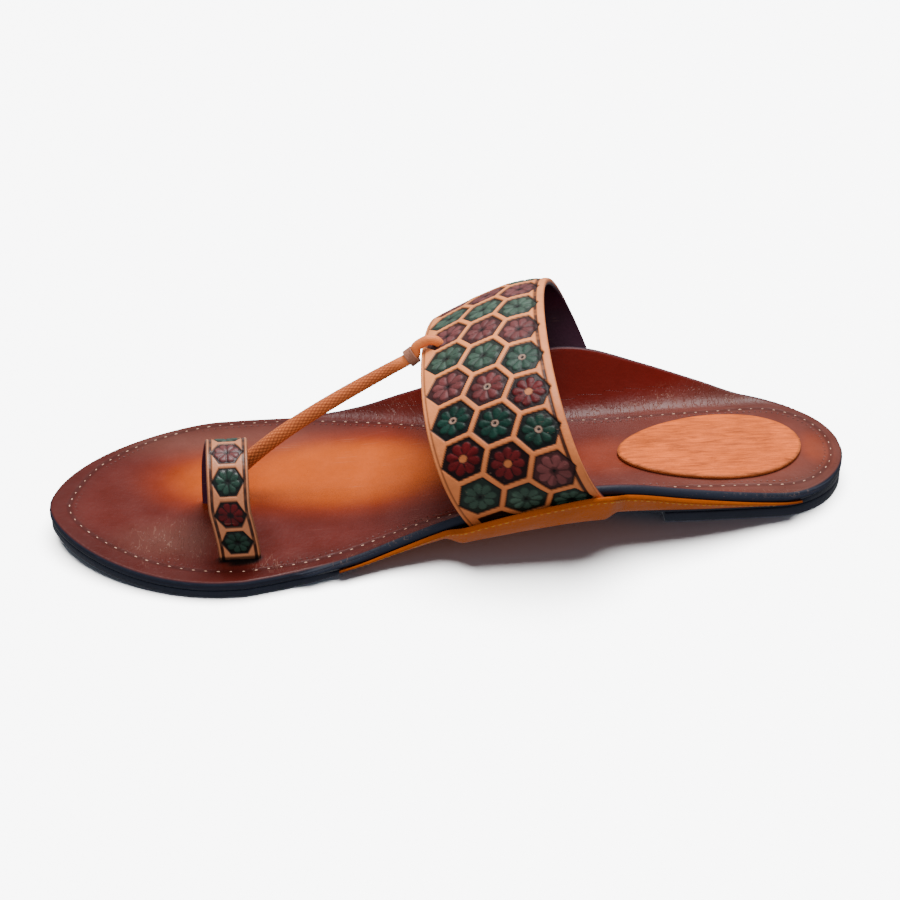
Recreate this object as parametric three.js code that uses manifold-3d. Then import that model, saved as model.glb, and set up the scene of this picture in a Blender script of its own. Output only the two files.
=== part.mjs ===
// A flat leather toe-ring sandal, right foot: two-layer sole on a low heel lift, an insole whose
// waist edges turn up into ears, a tan wrap round the waist, a wide instep band tucked between
// ears and wrap, a big-toe ring, and a rolled leather cord from the ring's foot to the band.
// Millimetres. While it is built, x runs from the heel back to the toe, y from the foot's middle
// to the big-toe side, and z up from the floor.
import * as THREE from 'three';
import Module from 'manifold-3d';
import { mergeVertices } from 'three/addons/utils/BufferGeometryUtils.js';

const wasm = await Module();
wasm.setup();

// Sole and insole
const LENGTH = 262;
const BALL_WIDTH = 94.6;
const HEEL_LIFT = 3.4;
const HEEL_LIFT_LENGTH = 64;
const OUTSOLE = 2.6;
const OUTSOLE_INSET = 0.6;
const WAIST_INSET = 5.5;
const OUTSOLE_SKIVE = 1.2;
const WAIST_RUN_BACK = 25;
const WAIST_RUN_FRONT = 30;
const INSOLE = 3.2;
const TOE_SPRING = 4.8;
const GAP = 0.3;

// Waist ears and wrap
const EAR_RISE = 17.4;
const EAR_FLARE = 16.3;
const EAR_BELLY = 0.15;
const EDGE_BEND = 4;
const BEND_OF_WIDTH = 0.3;
const WRAP = 1.6;
const WRAP_SKIVED = 0.7;
const WRAP_DROP = 0.2;
const COVER_MEDIAL = 4.5;
const COVER_LATERAL = -1.5;
const WRAP_BACK = 20;
const WRAP_FRONT = 171;
const WRAP_LAP = 5;
const WRAP_SKIVE_BACK = 45;
const WRAP_SKIVE_FRONT = 35;

// Instep band
const BAND_WIDTH = 41.5;
const BAND_WALL = 2.4;
const BAND_TUCK = 9;
const POCKET_EASE = 0.2;
const POCKET_RUNOUT = 8;
const POCKET_FADE = 8;
const BAND_REAR_MEDIAL = 88;
const BAND_REAR_LATERAL = 79.3;

// Toe ring
const RING_WIDTH = 13;
const RING_WALL = 2;
const RING_SPAN = 33.9;
const RING_LEG = 14.2;
const RING_BACK_FROM_TOE = 60.4;
const RING_INSET = 12.3;
const RING_SKEW = 5.3;

// Toe cord and keeper
const CORD = 5.3;
const LOOP_CORD = 3.4;
const TAIL_CORD = 2.8;
const KEEPER_CORD = 4;
const CORD_FROM_RING = 4.7;
const CORD_RISE = 20;
const CORD_BACK = 13;
const CORD_PULL = 24;
const CORD_ARCH = 3.4;
const CORD_HOLE_FROM_EDGE = 6;
const CORD_HOLE_ALONG = 0.51;
const HOLE_EASE = 1.1;
const KEEPER_LENGTH = 3;
const KEEPER_WALL = 0.7;
const KEEPER_OFF_EDGE = 3.7;
const KEEPER_DROP = 0.5;
const KEEPER_SLOPE = 36;

// Heel pad
const PAD = 1.2;
const PAD_EDGE = 0.5;
const PAD_LENGTH = 62.4;
const PAD_WIDTH = 37.8;
const PAD_FROM_HEEL = 13.6;
const PAD_OFFSET = -9.8;
const PAD_TAPER = 0.18;
const PAD_TURN = 3;

// Half outline of the sole: share of LENGTH from the heel, edges as shares of BALL_WIDTH
const OUTLINE = [
  { along: 0.103, medial: 0.192, lateral: 0.410 },
  { along: 0.197, medial: 0.190, lateral: 0.404 },
  { along: 0.292, medial: 0.180, lateral: 0.389 },
  { along: 0.369, medial: 0.180, lateral: 0.387 },
  { along: 0.445, medial: 0.196, lateral: 0.402 },
  { along: 0.514, medial: 0.227, lateral: 0.431 },
  { along: 0.579, medial: 0.291, lateral: 0.481 },
  { along: 0.636, medial: 0.365, lateral: 0.510 },
  { along: 0.693, medial: 0.428, lateral: 0.523 },
  { along: 0.762, medial: 0.474, lateral: 0.524 },
  { along: 0.789, medial: 0.476, lateral: 0.521 },
];
const HEEL_CAP = { share: 0.103, middle: -0.109, power: 2 };
const TOE_CAP = { share: 0.789, middle: 0.042, power: 1.7 };
const SPRING_START = 0.82;
const ARCH_END = 0.635;

// Ears: share of LENGTH, then shares of EAR_RISE and EAR_FLARE
const EARS = [
  { along: 0.02, rise: 0, flare: 0 },
  { along: 0.10, rise: 0.10, flare: 0.12 },
  { along: 0.16, rise: 0.33, flare: 0.39 },
  { along: 0.24, rise: 0.66, flare: 0.72 },
  { along: 0.30, rise: 0.92, flare: 0.93 },
  { along: 0.345, rise: 1, flare: 1 },
  { along: 0.39, rise: 0.93, flare: 0.96 },
  { along: 0.45, rise: 0.75, flare: 0.80 },
  { along: 0.55, rise: 0.36, flare: 0.42 },
  { along: 0.60, rise: 0.17, flare: 0.21 },
  { along: 0.66, rise: 0.04, flare: 0.04 },
  { along: 0.71, rise: 0, flare: 0 },
];

// The band's rear and front edges: how each side leaves its ear. Angle from upright in degrees,
// handle length and forward lean of the arch's curve in shares of BALL_WIDTH and of the handle
const BAND_EDGES = {
  rear: { flare: 42, medialPull: 0.717, lateralPull: 0.72, medialLean: 0.385, lateralLean: 0.308 },
  front: { flare: 28, medialPull: 0.575, lateralPull: 0.535, medialLean: 0.50, lateralLean: 0.28 },
};

const MEDIAL = 1;
const LATERAL = -1;
const EAR_STEPS = 7;
const { lerp, clamp, smoothstep, degToRad } = THREE.MathUtils;

// Smooth curve through one column of a table, level at both ends
function column(rows, name) {
  const last = rows.length - 1;
  const slope = rows.map((row, i) => (i === 0 || i === last ? 0
    : (rows[i + 1][name] - rows[i - 1][name]) / (rows[i + 1].along - rows[i - 1].along)));
  return (along) => {
    const at = clamp(along, rows[0].along, rows[last].along);
    const i = Math.min(rows.findLastIndex((row) => row.along <= at), last - 1);
    const span = rows[i + 1].along - rows[i].along;
    const t = (at - rows[i].along) / span;
    const blend = t * t * (3 - 2 * t);
    return lerp(rows[i][name], rows[i + 1][name], blend)
      + span * t * (1 - t) * ((1 - t) * slope[i] - t * slope[i + 1]);
  };
}

const outline = { [MEDIAL]: column(OUTLINE, 'medial'), [LATERAL]: column(OUTLINE, 'lateral') };
const earRise = column(EARS, 'rise');
const earFlare = column(EARS, 'flare');

// Edge of the flat sole on one side
function edgeAt(x, side) {
  const along = x / LENGTH;
  const full = side * outline[side](along);
  const rounded = (cap, u) => cap.middle
    + (full - cap.middle) * (1 - u ** cap.power) ** (1 / cap.power);
  if (along < HEEL_CAP.share) return BALL_WIDTH * rounded(HEEL_CAP, 1 - along / HEEL_CAP.share);
  if (along > TOE_CAP.share) {
    return BALL_WIDTH * rounded(TOE_CAP, (along - TOE_CAP.share) / (1 - TOE_CAP.share));
  }
  return BALL_WIDTH * full;
}

// Heights of the layers in the flat of the foot
const wrapShare = (x) => smoothstep(x, WRAP_BACK, WRAP_BACK + WRAP_SKIVE_BACK)
  * (1 - smoothstep(x, WRAP_FRONT - WRAP_SKIVE_FRONT, WRAP_FRONT));
const wrapLap = (x) => smoothstep(x, WRAP_BACK - WRAP_LAP, WRAP_BACK - 1)
  * (1 - smoothstep(x, WRAP_FRONT + 1, WRAP_FRONT + WRAP_LAP));
const wrapWall = (x) => lerp(WRAP_SKIVED, WRAP, wrapShare(x));

function treadHeight(x) {
  const arch = (HEEL_LIFT + GAP) * (1 - smoothstep(x, HEEL_LIFT_LENGTH, ARCH_END * LENGTH));
  const spring = Math.max(0, (x / LENGTH - SPRING_START) / (1 - SPRING_START));
  return arch + TOE_SPRING * spring * spring;
}

const insoleUnder = (x) => treadHeight(x) + OUTSOLE + GAP + (WRAP + GAP - OUTSOLE_SKIVE) * wrapShare(x);
const outsoleTop = (x) => insoleUnder(x) - GAP - wrapLap(x) * (wrapWall(x) + GAP);
const footbed = (x) => insoleUnder(x) + INSOLE;

// Point on the insole's upper face, u from 0 at the bend to 1 at the ear's edge, moved outwards by depth
function earPoint(x, side, u, depth) {
  const root = edgeAt(x, side);
  const width = edgeAt(x, MEDIAL) - edgeAt(x, LATERAL);
  const bend = Math.min(EDGE_BEND, BEND_OF_WIDTH * width);
  const flare = EAR_FLARE * earFlare(x / LENGTH);
  const rise = EAR_RISE * earRise(x / LENGTH);
  const first = bend + EAR_BELLY * flare;
  const second = (1 - EAR_BELLY) * flare;
  const out = 2 * u * (1 - u) * first + u * u * (bend + flare);
  const up = u * u * rise;
  const v = Math.min(u, 0.98);
  const along = new THREE.Vector2((1 - v) * first + v * second, v * rise).normalize();
  const y = root + side * (out - bend + along.y * depth);
  return new THREE.Vector3(x, y, footbed(x) + up - along.x * depth);
}

// Section of a layer across the foot at x: depth(side, u) is its distance under the insole's face,
// top(side) its upper edge as a value of u
function across(x, depth, top = () => 1) {
  const steps = Array.from({ length: EAR_STEPS + 1 }, (_, i) => i / EAR_STEPS);
  const half = (side) => steps.map((step) => {
    const u = top(side) * step;
    return earPoint(x, side, u, depth(side, u));
  });
  const [lateral, medial] = [half(LATERAL).reverse(), half(MEDIAL)];
  const flat = [1 / 3, 2 / 3].map((t) => lateral[EAR_STEPS].clone().lerp(medial[0], t));
  return [...lateral, ...flat, ...medial];
}

// Closed geometry between two faces given as rows of points, row by row
function slab(rows) {
  const count = rows[0].face.length;
  const ring = rows.map(({ face, back }) => [...face, ...back.slice().reverse()]);
  const around = 2 * count;
  const index = [];
  const quad = (a, b, c, d) => index.push(a, b, c, a, c, d);
  for (let i = 0; i + 1 < rows.length; i++) {
    for (let j = 0; j < around; j++) {
      const k = (j + 1) % around;
      quad(i * around + j, i * around + k, (i + 1) * around + k, (i + 1) * around + j);
    }
  }
  const end = (rows.length - 1) * around;
  for (let j = 0; j + 1 < count; j++) {
    quad(j, around - 1 - j, around - 2 - j, j + 1);
    quad(end + j, end + j + 1, end + around - 2 - j, end + around - 1 - j);
  }
  const geometry = new THREE.BufferGeometry().setFromPoints(ring.flat());
  geometry.setIndex(index);
  return outward(geometry);
}

// Turn a closed geometry's faces outwards
function outward(geometry) {
  const merged = mergeVertices(geometry, 1e-4);
  const [a, b, c] = [new THREE.Vector3(), new THREE.Vector3(), new THREE.Vector3()];
  const { position } = merged.attributes;
  const index = merged.index.array;
  let volume = 0;
  for (let i = 0; i < index.length; i += 3) {
    a.fromBufferAttribute(position, index[i]);
    b.fromBufferAttribute(position, index[i + 1]);
    c.fromBufferAttribute(position, index[i + 2]);
    volume += a.dot(b.cross(c));
  }
  if (volume < 0) {
    for (let i = 0; i < index.length; i += 3) [index[i], index[i + 1]] = [index[i + 1], index[i]];
  }
  return merged;
}

function solid(geometry) {
  const bare = geometry.clone();
  bare.deleteAttribute('normal');
  bare.deleteAttribute('uv');
  const merged = mergeVertices(bare, 1e-4);
  return new wasm.Manifold(new wasm.Mesh({
    numProp: 3,
    vertProperties: new Float32Array(merged.attributes.position.array),
    triVerts: new Uint32Array(merged.index.array),
  }));
}

function cut(geometry, ...tools) {
  const left = tools.reduce((body, tool) => body.subtract(solid(tool)), solid(geometry)).getMesh();
  const result = new THREE.BufferGeometry();
  result.setAttribute('position', new THREE.BufferAttribute(left.vertProperties, 3));
  result.setIndex(new THREE.BufferAttribute(left.triVerts, 1));
  return result;
}

// Distances from the heel, closer together where the outline turns
function stations(from, to, count, round) {
  return Array.from({ length: count + 1 }, (_, i) => {
    const t = i / count;
    return lerp(from, to, lerp(t, (1 - Math.cos(Math.PI * t)) / 2, round));
  });
}

const TIP = 0.15;

function insoleGeometry() {
  const rows = stations(TIP, LENGTH - TIP, 52, 0.8).map((x) => ({
    face: across(x, () => 0),
    back: across(x, () => INSOLE),
  }));
  const slots = [ringSlot(0), ringSlot(1), cordHoleInInsole()];
  return cut(slab(rows), ...slots);
}

// Where the band's rear edge meets one ear, and a point on the base line at share t across the band
const bandRear = { [MEDIAL]: BAND_REAR_MEDIAL, [LATERAL]: BAND_REAR_LATERAL };
const bandBase = (side, t) => bandRear[side] + BAND_WIDTH * t;

// Length of the ear's face from the bend to its edge
function earLength(x) {
  const rise = EAR_RISE * earRise(x / LENGTH);
  const flare = EAR_FLARE * earFlare(x / LENGTH);
  return EDGE_BEND + Math.hypot(rise, flare);
}

// How far the wrap stands over one of the band's ends, 0 to 1
function overBand(x, side) {
  const [rear, front] = [bandBase(side, 0), bandBase(side, 1)];
  return smoothstep(x, rear - POCKET_RUNOUT, rear - 1)
    * (1 - smoothstep(x, front + 1, front + POCKET_RUNOUT));
}

// Room that the wrap leaves for the band's tucked ends
function pocket(x, side, u) {
  const fromTop = (1 - u) * earLength(x);
  const below = 1 - smoothstep(fromTop, BAND_TUCK + 1, BAND_TUCK + 1 + POCKET_FADE);
  const offBend = smoothstep(u, 0.05, 0.35);
  return (BAND_WALL + GAP + POCKET_EASE) * overBand(x, side) * below * offBend;
}

// The wrap's upper edge: a little under the ear's edge, drawn up over the band's medial end and
// down from its lateral end
const cover = { [MEDIAL]: COVER_MEDIAL, [LATERAL]: COVER_LATERAL };

function wrapTop(x, side) {
  const above = cover[side] * overBand(x, side) - WRAP_DROP * earRise(x / LENGTH);
  return 1 + above / earLength(x);
}

function wrapGeometry() {
  const pocketEnds = [MEDIAL, LATERAL].flatMap((side) => [bandBase(side, 0), bandBase(side, 1)]);
  const xs = [...stations(WRAP_BACK, WRAP_FRONT, 34, 0.3), ...pocketEnds].sort((a, b) => a - b);
  const rows = xs.map((x) => {
    const top = (side) => wrapTop(x, side);
    const inner = (side, u) => INSOLE + GAP + pocket(x, side, u);
    return {
      face: across(x, inner, top),
      back: across(x, (side, u) => inner(side, u) + wrapWall(x), top),
    };
  });
  return slab(rows);
}

// Outsole and heel lift share one plan, drawn in from the insole's edge under the ears
function plan(x, side) {
  const under = smoothstep(x, HEEL_LIFT_LENGTH, HEEL_LIFT_LENGTH + WAIST_RUN_BACK)
    * (1 - smoothstep(x, WRAP_FRONT - WAIST_RUN_FRONT, WRAP_FRONT));
  const width = edgeAt(x, MEDIAL) - edgeAt(x, LATERAL);
  const inset = Math.min(OUTSOLE_INSET + WAIST_INSET * under, 0.45 * width);
  return edgeAt(x, side) - side * inset;
}

function layer(xs, top, bottom) {
  const spread = [0, 1 / 3, 2 / 3, 1];
  return slab(xs.map((x) => ({
    face: spread.map((t) => new THREE.Vector3(x, lerp(plan(x, LATERAL), plan(x, MEDIAL), t), top(x))),
    back: spread.map((t) => new THREE.Vector3(x, lerp(plan(x, LATERAL), plan(x, MEDIAL), t), bottom(x))),
  })));
}

function outsoleGeometry() {
  const lapEnds = [WRAP_BACK - WRAP_LAP, WRAP_BACK - 1, WRAP_FRONT + 1, WRAP_FRONT + WRAP_LAP];
  const xs = [...stations(OUTSOLE_INSET + TIP, LENGTH - OUTSOLE_INSET - TIP, 52, 0.85),
    ...lapEnds, HEEL_LIFT_LENGTH];
  return layer(xs.sort((a, b) => a - b), outsoleTop, treadHeight);
}

function heelLiftGeometry() {
  const xs = stations(OUTSOLE_INSET + TIP, HEEL_LIFT_LENGTH, 18, 0.9).map(heelFirst);
  return layer(xs, () => HEEL_LIFT, () => 0);
}

// Crowd the lift's stations at its round back rather than at its straight front
function heelFirst(x) {
  const share = x / HEEL_LIFT_LENGTH;
  return HEEL_LIFT_LENGTH * share ** 1.2;
}

// Middle surface of the band: s from 0 to 1 over the arch, t from the rear edge to the front edge.
// Below 0 and above 1, s counts millimetres of the tucked ends.
function bandEnd(side, t, tuck) {
  const x = bandBase(side, t);
  const u = 1 - tuck / earLength(x);
  return earPoint(x, side, u, INSOLE + GAP + BAND_WALL / 2);
}

function bandArch(s, t) {
  const of = (name) => lerp(BAND_EDGES.rear[name], BAND_EDGES.front[name], t);
  const flare = degToRad(of('flare'));
  const leave = (side, pull, lean) => new THREE.Vector3(lean, side * Math.sin(flare), Math.cos(flare))
    .multiplyScalar(BALL_WIDTH * pull).add(bandEnd(side, t, 0));
  return new THREE.CubicBezierCurve3(
    bandEnd(MEDIAL, t, 0),
    leave(MEDIAL, of('medialPull'), of('medialLean')),
    leave(LATERAL, of('lateralPull'), of('lateralLean')),
    bandEnd(LATERAL, t, 0),
  ).getPoint(s);
}

// Frame on the band: point, direction to the front edge and outward direction
function bandFrame(s, t) {
  const step = 0.01;
  const at = bandArch(s, t);
  const forward = bandArch(s, t + step).sub(bandArch(s, t - step)).normalize();
  const along = bandArch(s + step, t).sub(bandArch(s - step, t));
  const out = forward.clone().cross(along).normalize();
  if (out.z < 0) out.negate();
  return { at, forward, out };
}

function bandGeometry() {
  const tuckSteps = 3;
  const archSteps = 36;
  const acrossSteps = 8;
  const tucks = Array.from({ length: tuckSteps }, (_, i) => BAND_TUCK * (1 - i / tuckSteps));
  const lines = [
    ...tucks.map((tuck) => (t) => bandEnd(MEDIAL, t, tuck)),
    ...Array.from({ length: archSteps + 1 }, (_, i) => (t) => bandArch(i / archSteps, t)),
    ...tucks.reverse().map((tuck) => (t) => bandEnd(LATERAL, t, tuck)),
  ];
  const shares = Array.from({ length: acrossSteps + 1 }, (_, j) => j / acrossSteps);
  const grid = lines.map((line) => shares.map(line));
  const rows = thicken(grid, BAND_WALL);
  return cut(slab(rows), cordHoleInBand());
}

// Give a grid of points on a middle surface its wall
function thicken(grid, wall) {
  const pick = (list, i) => list[clamp(i, 0, list.length - 1)];
  return grid.map((row, i) => {
    const moved = (amount) => row.map((point, j) => {
      const along = pick(grid, i + 1)[j].clone().sub(pick(grid, i - 1)[j]);
      const over = pick(row, j + 1).clone().sub(pick(row, j - 1));
      return point.clone().addScaledVector(over.cross(along).normalize(), amount);
    });
    return { face: moved(wall / 2), back: moved(-wall / 2) };
  });
}

// Toe ring: centre line of the strap, from the insole's underside up, over and down again
const ringX = LENGTH - RING_BACK_FROM_TOE;
const ringNearY = edgeAt(ringX, MEDIAL) - RING_INSET - RING_WALL / 2;
const ringRadius = (RING_SPAN - RING_WALL) / 2;
const RING_ARC_STEPS = 18;

function ringFoot(end) {
  const x = ringX + RING_SKEW * end;
  return new THREE.Vector3(x, ringNearY - 2 * ringRadius * end, footbed(x));
}

function ringCentreLine() {
  const [near, far] = [ringFoot(0), ringFoot(1)];
  const legs = (foot) => [
    insoleUnder(foot.x), foot.z + 1, foot.z + RING_LEG / 3, foot.z + (2 * RING_LEG) / 3,
  ].map((z) => new THREE.Vector3(foot.x, foot.y, z));
  const arc = Array.from({ length: RING_ARC_STEPS + 1 }, (_, i) => {
    const angle = (Math.PI * i) / RING_ARC_STEPS;
    const y = (near.y + far.y) / 2 + ringRadius * Math.cos(angle);
    return new THREE.Vector3(near.x, y, near.z + RING_LEG + ringRadius * Math.sin(angle));
  });
  const line = [...legs(near), ...arc, ...legs(far).reverse()];
  // The strap swings towards the toe in its near leg, and again as it comes down
  const swing = line.map((_, i) => {
    const share = clamp((i - 1) / (line.length - 3), 0, 1);
    return lerp(smoothstep(share, 0, 0.2), smoothstep(share, 0.55, 1), 0.55);
  });
  line.forEach((point, i) => point.setX(near.x + RING_SKEW * swing[i]));
  return line;
}

function ringGeometry() {
  const half = [-0.5, -0.25, 0, 0.25, 0.5];
  const grid = ringCentreLine()
    .map((point) => half.map((share) => point.clone().setX(point.x + share * RING_WIDTH)));
  return slab(thicken(grid, RING_WALL));
}

function ringSlot(end) {
  const foot = ringFoot(end);
  const slot = new THREE.BoxGeometry(RING_WIDTH + 2 * GAP, RING_WALL + 2 * GAP, 3 * INSOLE);
  return slot.translate(foot.x, foot.y, foot.z);
}

// Toe cord: out of the insole beside the ring's far foot, up to the band, over its front edge,
// down through its hole and back to the keeper
const cordFoot = (() => {
  const foot = ringFoot(1);
  return new THREE.Vector3(foot.x - 0.8, foot.y - RING_WALL / 2 - CORD_FROM_RING, foot.z);
})();
const bandHole = bandFrame(CORD_HOLE_ALONG, 1 - CORD_HOLE_FROM_EDGE / BAND_WIDTH);

function onBand(forward, out) {
  return bandHole.at.clone().addScaledVector(bandHole.forward, forward).addScaledVector(bandHole.out, out);
}

const toFoot = cordFoot.clone().sub(bandHole.at).setZ(0).normalize();
const keeperAxis = toFoot.clone().multiplyScalar(Math.cos(degToRad(KEEPER_SLOPE)))
  .setZ(-Math.sin(degToRad(KEEPER_SLOPE)));
const keeperMiddle = onBand(CORD_HOLE_FROM_EDGE, 0).addScaledVector(toFoot, KEEPER_OFF_EDGE);
keeperMiddle.z -= KEEPER_DROP;
const fromKeeper = (forward, out) => keeperMiddle.clone().addScaledVector(keeperAxis, forward)
  .addScaledVector(bandHole.out, out);

// The loop round the band's front edge: shares of CORD_HOLE_FROM_EDGE forward of the hole's middle,
// and millimetres up from where the strand would just clear the band's upper or lower face
const LOOP_ABOVE = [
  { forward: 1.2, up: -0.1 },
  { forward: 0.72, up: 0.7 },
  { forward: 0.37, up: 0.5 },
  { forward: 0.05, up: -0.9 },
];
const LOOP_BELOW = [
  { forward: -0.07, up: 3.1 },
  { forward: 0.05, up: 0.9 },
  { forward: 0.37, up: -0.4 },
  { forward: 0.67, up: -0.7 },
  { forward: 1, up: -0.7 },
];

const RUN_STEPS = 16;

// The cord's stretches: points from the insole to the keeper, then the loop round the band's edge
function cordPath() {
  const clear = BAND_WALL / 2 + GAP + LOOP_CORD / 2;
  const below = BAND_WALL / 2 + GAP + TAIL_CORD / 2;
  const half = KEEPER_LENGTH / 2;
  const foot = (rise, back) => cordFoot.clone().add(new THREE.Vector3(-back, 0, rise));
  const run = new THREE.CubicBezierCurve3(
    foot(3, 0.3),
    foot(CORD_RISE, CORD_BACK),
    fromKeeper(CORD_PULL, CORD_ARCH),
    fromKeeper(half, 0),
  ).getPoints(RUN_STEPS);
  const loop = (rows, off, wide) => rows
    .map(({ forward, up }) => ({ at: onBand(forward * CORD_HOLE_FROM_EDGE, off + up), wide }));
  return [
    { at: foot(-INSOLE, 0), wide: CORD },
    { at: foot(0, 0), wide: CORD },
    ...run.map((at, i) => ({ at, wide: lerp(CORD, KEEPER_CORD, (i / RUN_STEPS) ** 2) })),
    { at: fromKeeper(0, 0), wide: KEEPER_CORD },
    { at: fromKeeper(-half, 0), wide: LOOP_CORD },
    ...loop(LOOP_ABOVE, clear, LOOP_CORD),
    ...loop(LOOP_BELOW, -below, TAIL_CORD),
  ];
}

// Round bar of changing thickness along a path
function bar(path, steps, sides) {
  const curve = new THREE.CatmullRomCurve3(path.map(({ at }) => at), false, 'centripetal');
  const { normals, binormals } = curve.computeFrenetFrames(steps, false);
  const spans = curve.getLengths(steps * 8);
  const total = spans[spans.length - 1];
  const marks = path.map((_, i) => spans[Math.round((i / (path.length - 1)) * steps * 8)] / total);
  const wideAt = (share) => {
    const i = clamp(marks.findLastIndex((mark) => mark <= share), 0, path.length - 2);
    return lerp(path[i].wide, path[i + 1].wide, clamp((share - marks[i]) / (marks[i + 1] - marks[i]), 0, 1));
  };
  const points = [];
  const index = [];
  for (let i = 0; i <= steps; i++) {
    const centre = curve.getPointAt(i / steps);
    for (let j = 0; j < sides; j++) {
      const angle = (2 * Math.PI * j) / sides;
      const radius = wideAt(i / steps) / 2;
      points.push(centre.clone().addScaledVector(normals[i], radius * Math.cos(angle))
        .addScaledVector(binormals[i], radius * Math.sin(angle)));
    }
  }
  for (let i = 0; i < steps; i++) {
    for (let j = 0; j < sides; j++) {
      const [a, b] = [i * sides + j, i * sides + ((j + 1) % sides)];
      index.push(a, b, b + sides, a, b + sides, a + sides);
    }
  }
  for (let j = 1; j + 1 < sides; j++) {
    index.push(0, j + 1, j, steps * sides, steps * sides + j, steps * sides + j + 1);
  }
  const geometry = new THREE.BufferGeometry().setFromPoints(points);
  geometry.setIndex(index);
  return outward(geometry);
}

function cordGeometry() {
  return bar(cordPath(), 64, 10);
}

function cordHoleInInsole() {
  const hole = new THREE.CylinderGeometry(CORD / 2 + GAP, CORD / 2 + GAP, 3 * INSOLE, 16);
  return hole.rotateX(Math.PI / 2).translate(cordFoot.x, cordFoot.y, cordFoot.z);
}

function cordHoleInBand() {
  const radius = LOOP_CORD / 2 + HOLE_EASE;
  const hole = new THREE.CylinderGeometry(radius, radius, 3 * BAND_WALL, 16);
  const turn = new THREE.Quaternion().setFromUnitVectors(new THREE.Vector3(0, 1, 0), bandHole.out);
  return hole.applyQuaternion(turn).translate(...bandHole.at);
}

function keeperGeometry() {
  const bore = KEEPER_CORD / 2 + GAP;
  const half = KEEPER_LENGTH / 2;
  const profile = [[bore, -half], [bore + KEEPER_WALL, -half], [bore + KEEPER_WALL, half], [bore, half],
    [bore, -half]].map(([r, h]) => new THREE.Vector2(r, h));
  const sleeve = new THREE.LatheGeometry(profile, 20);
  sleeve.deleteAttribute('normal');
  sleeve.deleteAttribute('uv');
  const turn = new THREE.Quaternion().setFromUnitVectors(new THREE.Vector3(0, 1, 0), keeperAxis);
  return outward(sleeve.applyQuaternion(turn).translate(...keeperMiddle));
}

// Egg-shaped patch on the heel, its narrow end forward, thinned at its rim
function padGeometry() {
  const count = 20;
  const spread = [-1, -0.85, 0, 0.85, 1];
  const rows = Array.from({ length: count + 1 }, (_, i) => {
    const angle = Math.PI * (1 - clamp(i / count, 0.01, 0.99));
    const x = PAD_FROM_HEEL + (PAD_LENGTH / 2) * (1 + Math.cos(angle));
    const half = (PAD_WIDTH / 2) * Math.sin(angle) * (1 - PAD_TAPER * Math.cos(angle));
    const rim = i === 0 || i === count;
    const high = (share) => (rim || Math.abs(share) === 1 ? PAD_EDGE : PAD);
    const axis = PAD_OFFSET + Math.tan(degToRad(PAD_TURN)) * (x - PAD_FROM_HEEL - PAD_LENGTH / 2);
    const at = (share, up) => new THREE.Vector3(x, axis + share * half, footbed(x) + GAP + up);
    return { face: spread.map((share) => at(share, high(share))), back: spread.map((share) => at(share, 0)) };
  });
  return slab(rows);
}

const FINISH = {
  outsole: { color: 0x1c2430, roughness: 0.55 },
  heel_lift: { color: 0x161c26, roughness: 0.6 },
  insole: { color: 0x6b2f22, roughness: 0.35 },
  waist_wrap: { color: 0xa8661f, roughness: 0.45 },
  instep_band: { color: 0xcf9564, roughness: 0.5 },
  toe_ring: { color: 0xcf9564, roughness: 0.5 },
  toe_cord: { color: 0xb5632f, roughness: 0.6 },
  cord_keeper: { color: 0x8c5a44, roughness: 0.7 },
  heel_pad: { color: 0xcf8452, roughness: 0.65 },
};

function piece(name, geometry) {
  const mesh = new THREE.Mesh(geometry, new THREE.MeshStandardMaterial({ ...FINISH[name], metalness: 0 }));
  mesh.name = name;
  return mesh;
}

const sandal = new THREE.Group();
sandal.add(
  piece('outsole', outsoleGeometry()),
  piece('heel_lift', heelLiftGeometry()),
  piece('insole', insoleGeometry()),
  piece('waist_wrap', wrapGeometry()),
  piece('instep_band', bandGeometry()),
  piece('toe_ring', ringGeometry()),
  piece('toe_cord', cordGeometry()),
  piece('cord_keeper', keeperGeometry()),
  piece('heel_pad', padGeometry()),
);

// Stand the sandal on the middle of its own footprint
const extent = new THREE.Box3().setFromObject(sandal);
const middle = extent.getCenter(new THREE.Vector3());
sandal.position.set(-middle.x, -middle.y, -extent.min.z);

export default sandal;
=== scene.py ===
"""Looks of a right leather toe-ring sandal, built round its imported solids.

Each piece of leather is a class: its fields are the piece's sizes, build() makes a fine closed
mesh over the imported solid, and dress() gives it a procedural leather. Sizes are in millimetres in
the maker's frame: x from the heel back to the toe, y to the big-toe side, z up from the floor.
"""

import logging
import math
from dataclasses import dataclass, replace
from enum import Enum
from typing import Sequence

import bmesh
import bpy
import numpy as np
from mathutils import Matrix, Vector, kdtree

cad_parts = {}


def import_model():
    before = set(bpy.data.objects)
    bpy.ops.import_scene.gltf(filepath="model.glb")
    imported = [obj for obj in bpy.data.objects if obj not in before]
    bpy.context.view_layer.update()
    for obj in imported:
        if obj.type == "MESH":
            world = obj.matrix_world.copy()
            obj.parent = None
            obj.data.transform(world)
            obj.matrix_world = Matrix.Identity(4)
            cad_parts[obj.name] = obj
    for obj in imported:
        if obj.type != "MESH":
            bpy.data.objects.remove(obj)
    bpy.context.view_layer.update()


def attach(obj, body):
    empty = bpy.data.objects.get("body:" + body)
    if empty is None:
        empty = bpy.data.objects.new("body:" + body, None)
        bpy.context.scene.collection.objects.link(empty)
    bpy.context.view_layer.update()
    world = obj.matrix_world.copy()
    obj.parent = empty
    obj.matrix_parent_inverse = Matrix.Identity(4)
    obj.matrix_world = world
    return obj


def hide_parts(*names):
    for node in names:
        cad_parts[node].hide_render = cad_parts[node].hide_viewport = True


log = logging.getLogger("sandal")

Array = np.ndarray
Socket = bpy.types.NodeSocket
Table = tuple[tuple[float, ...], ...]

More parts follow.
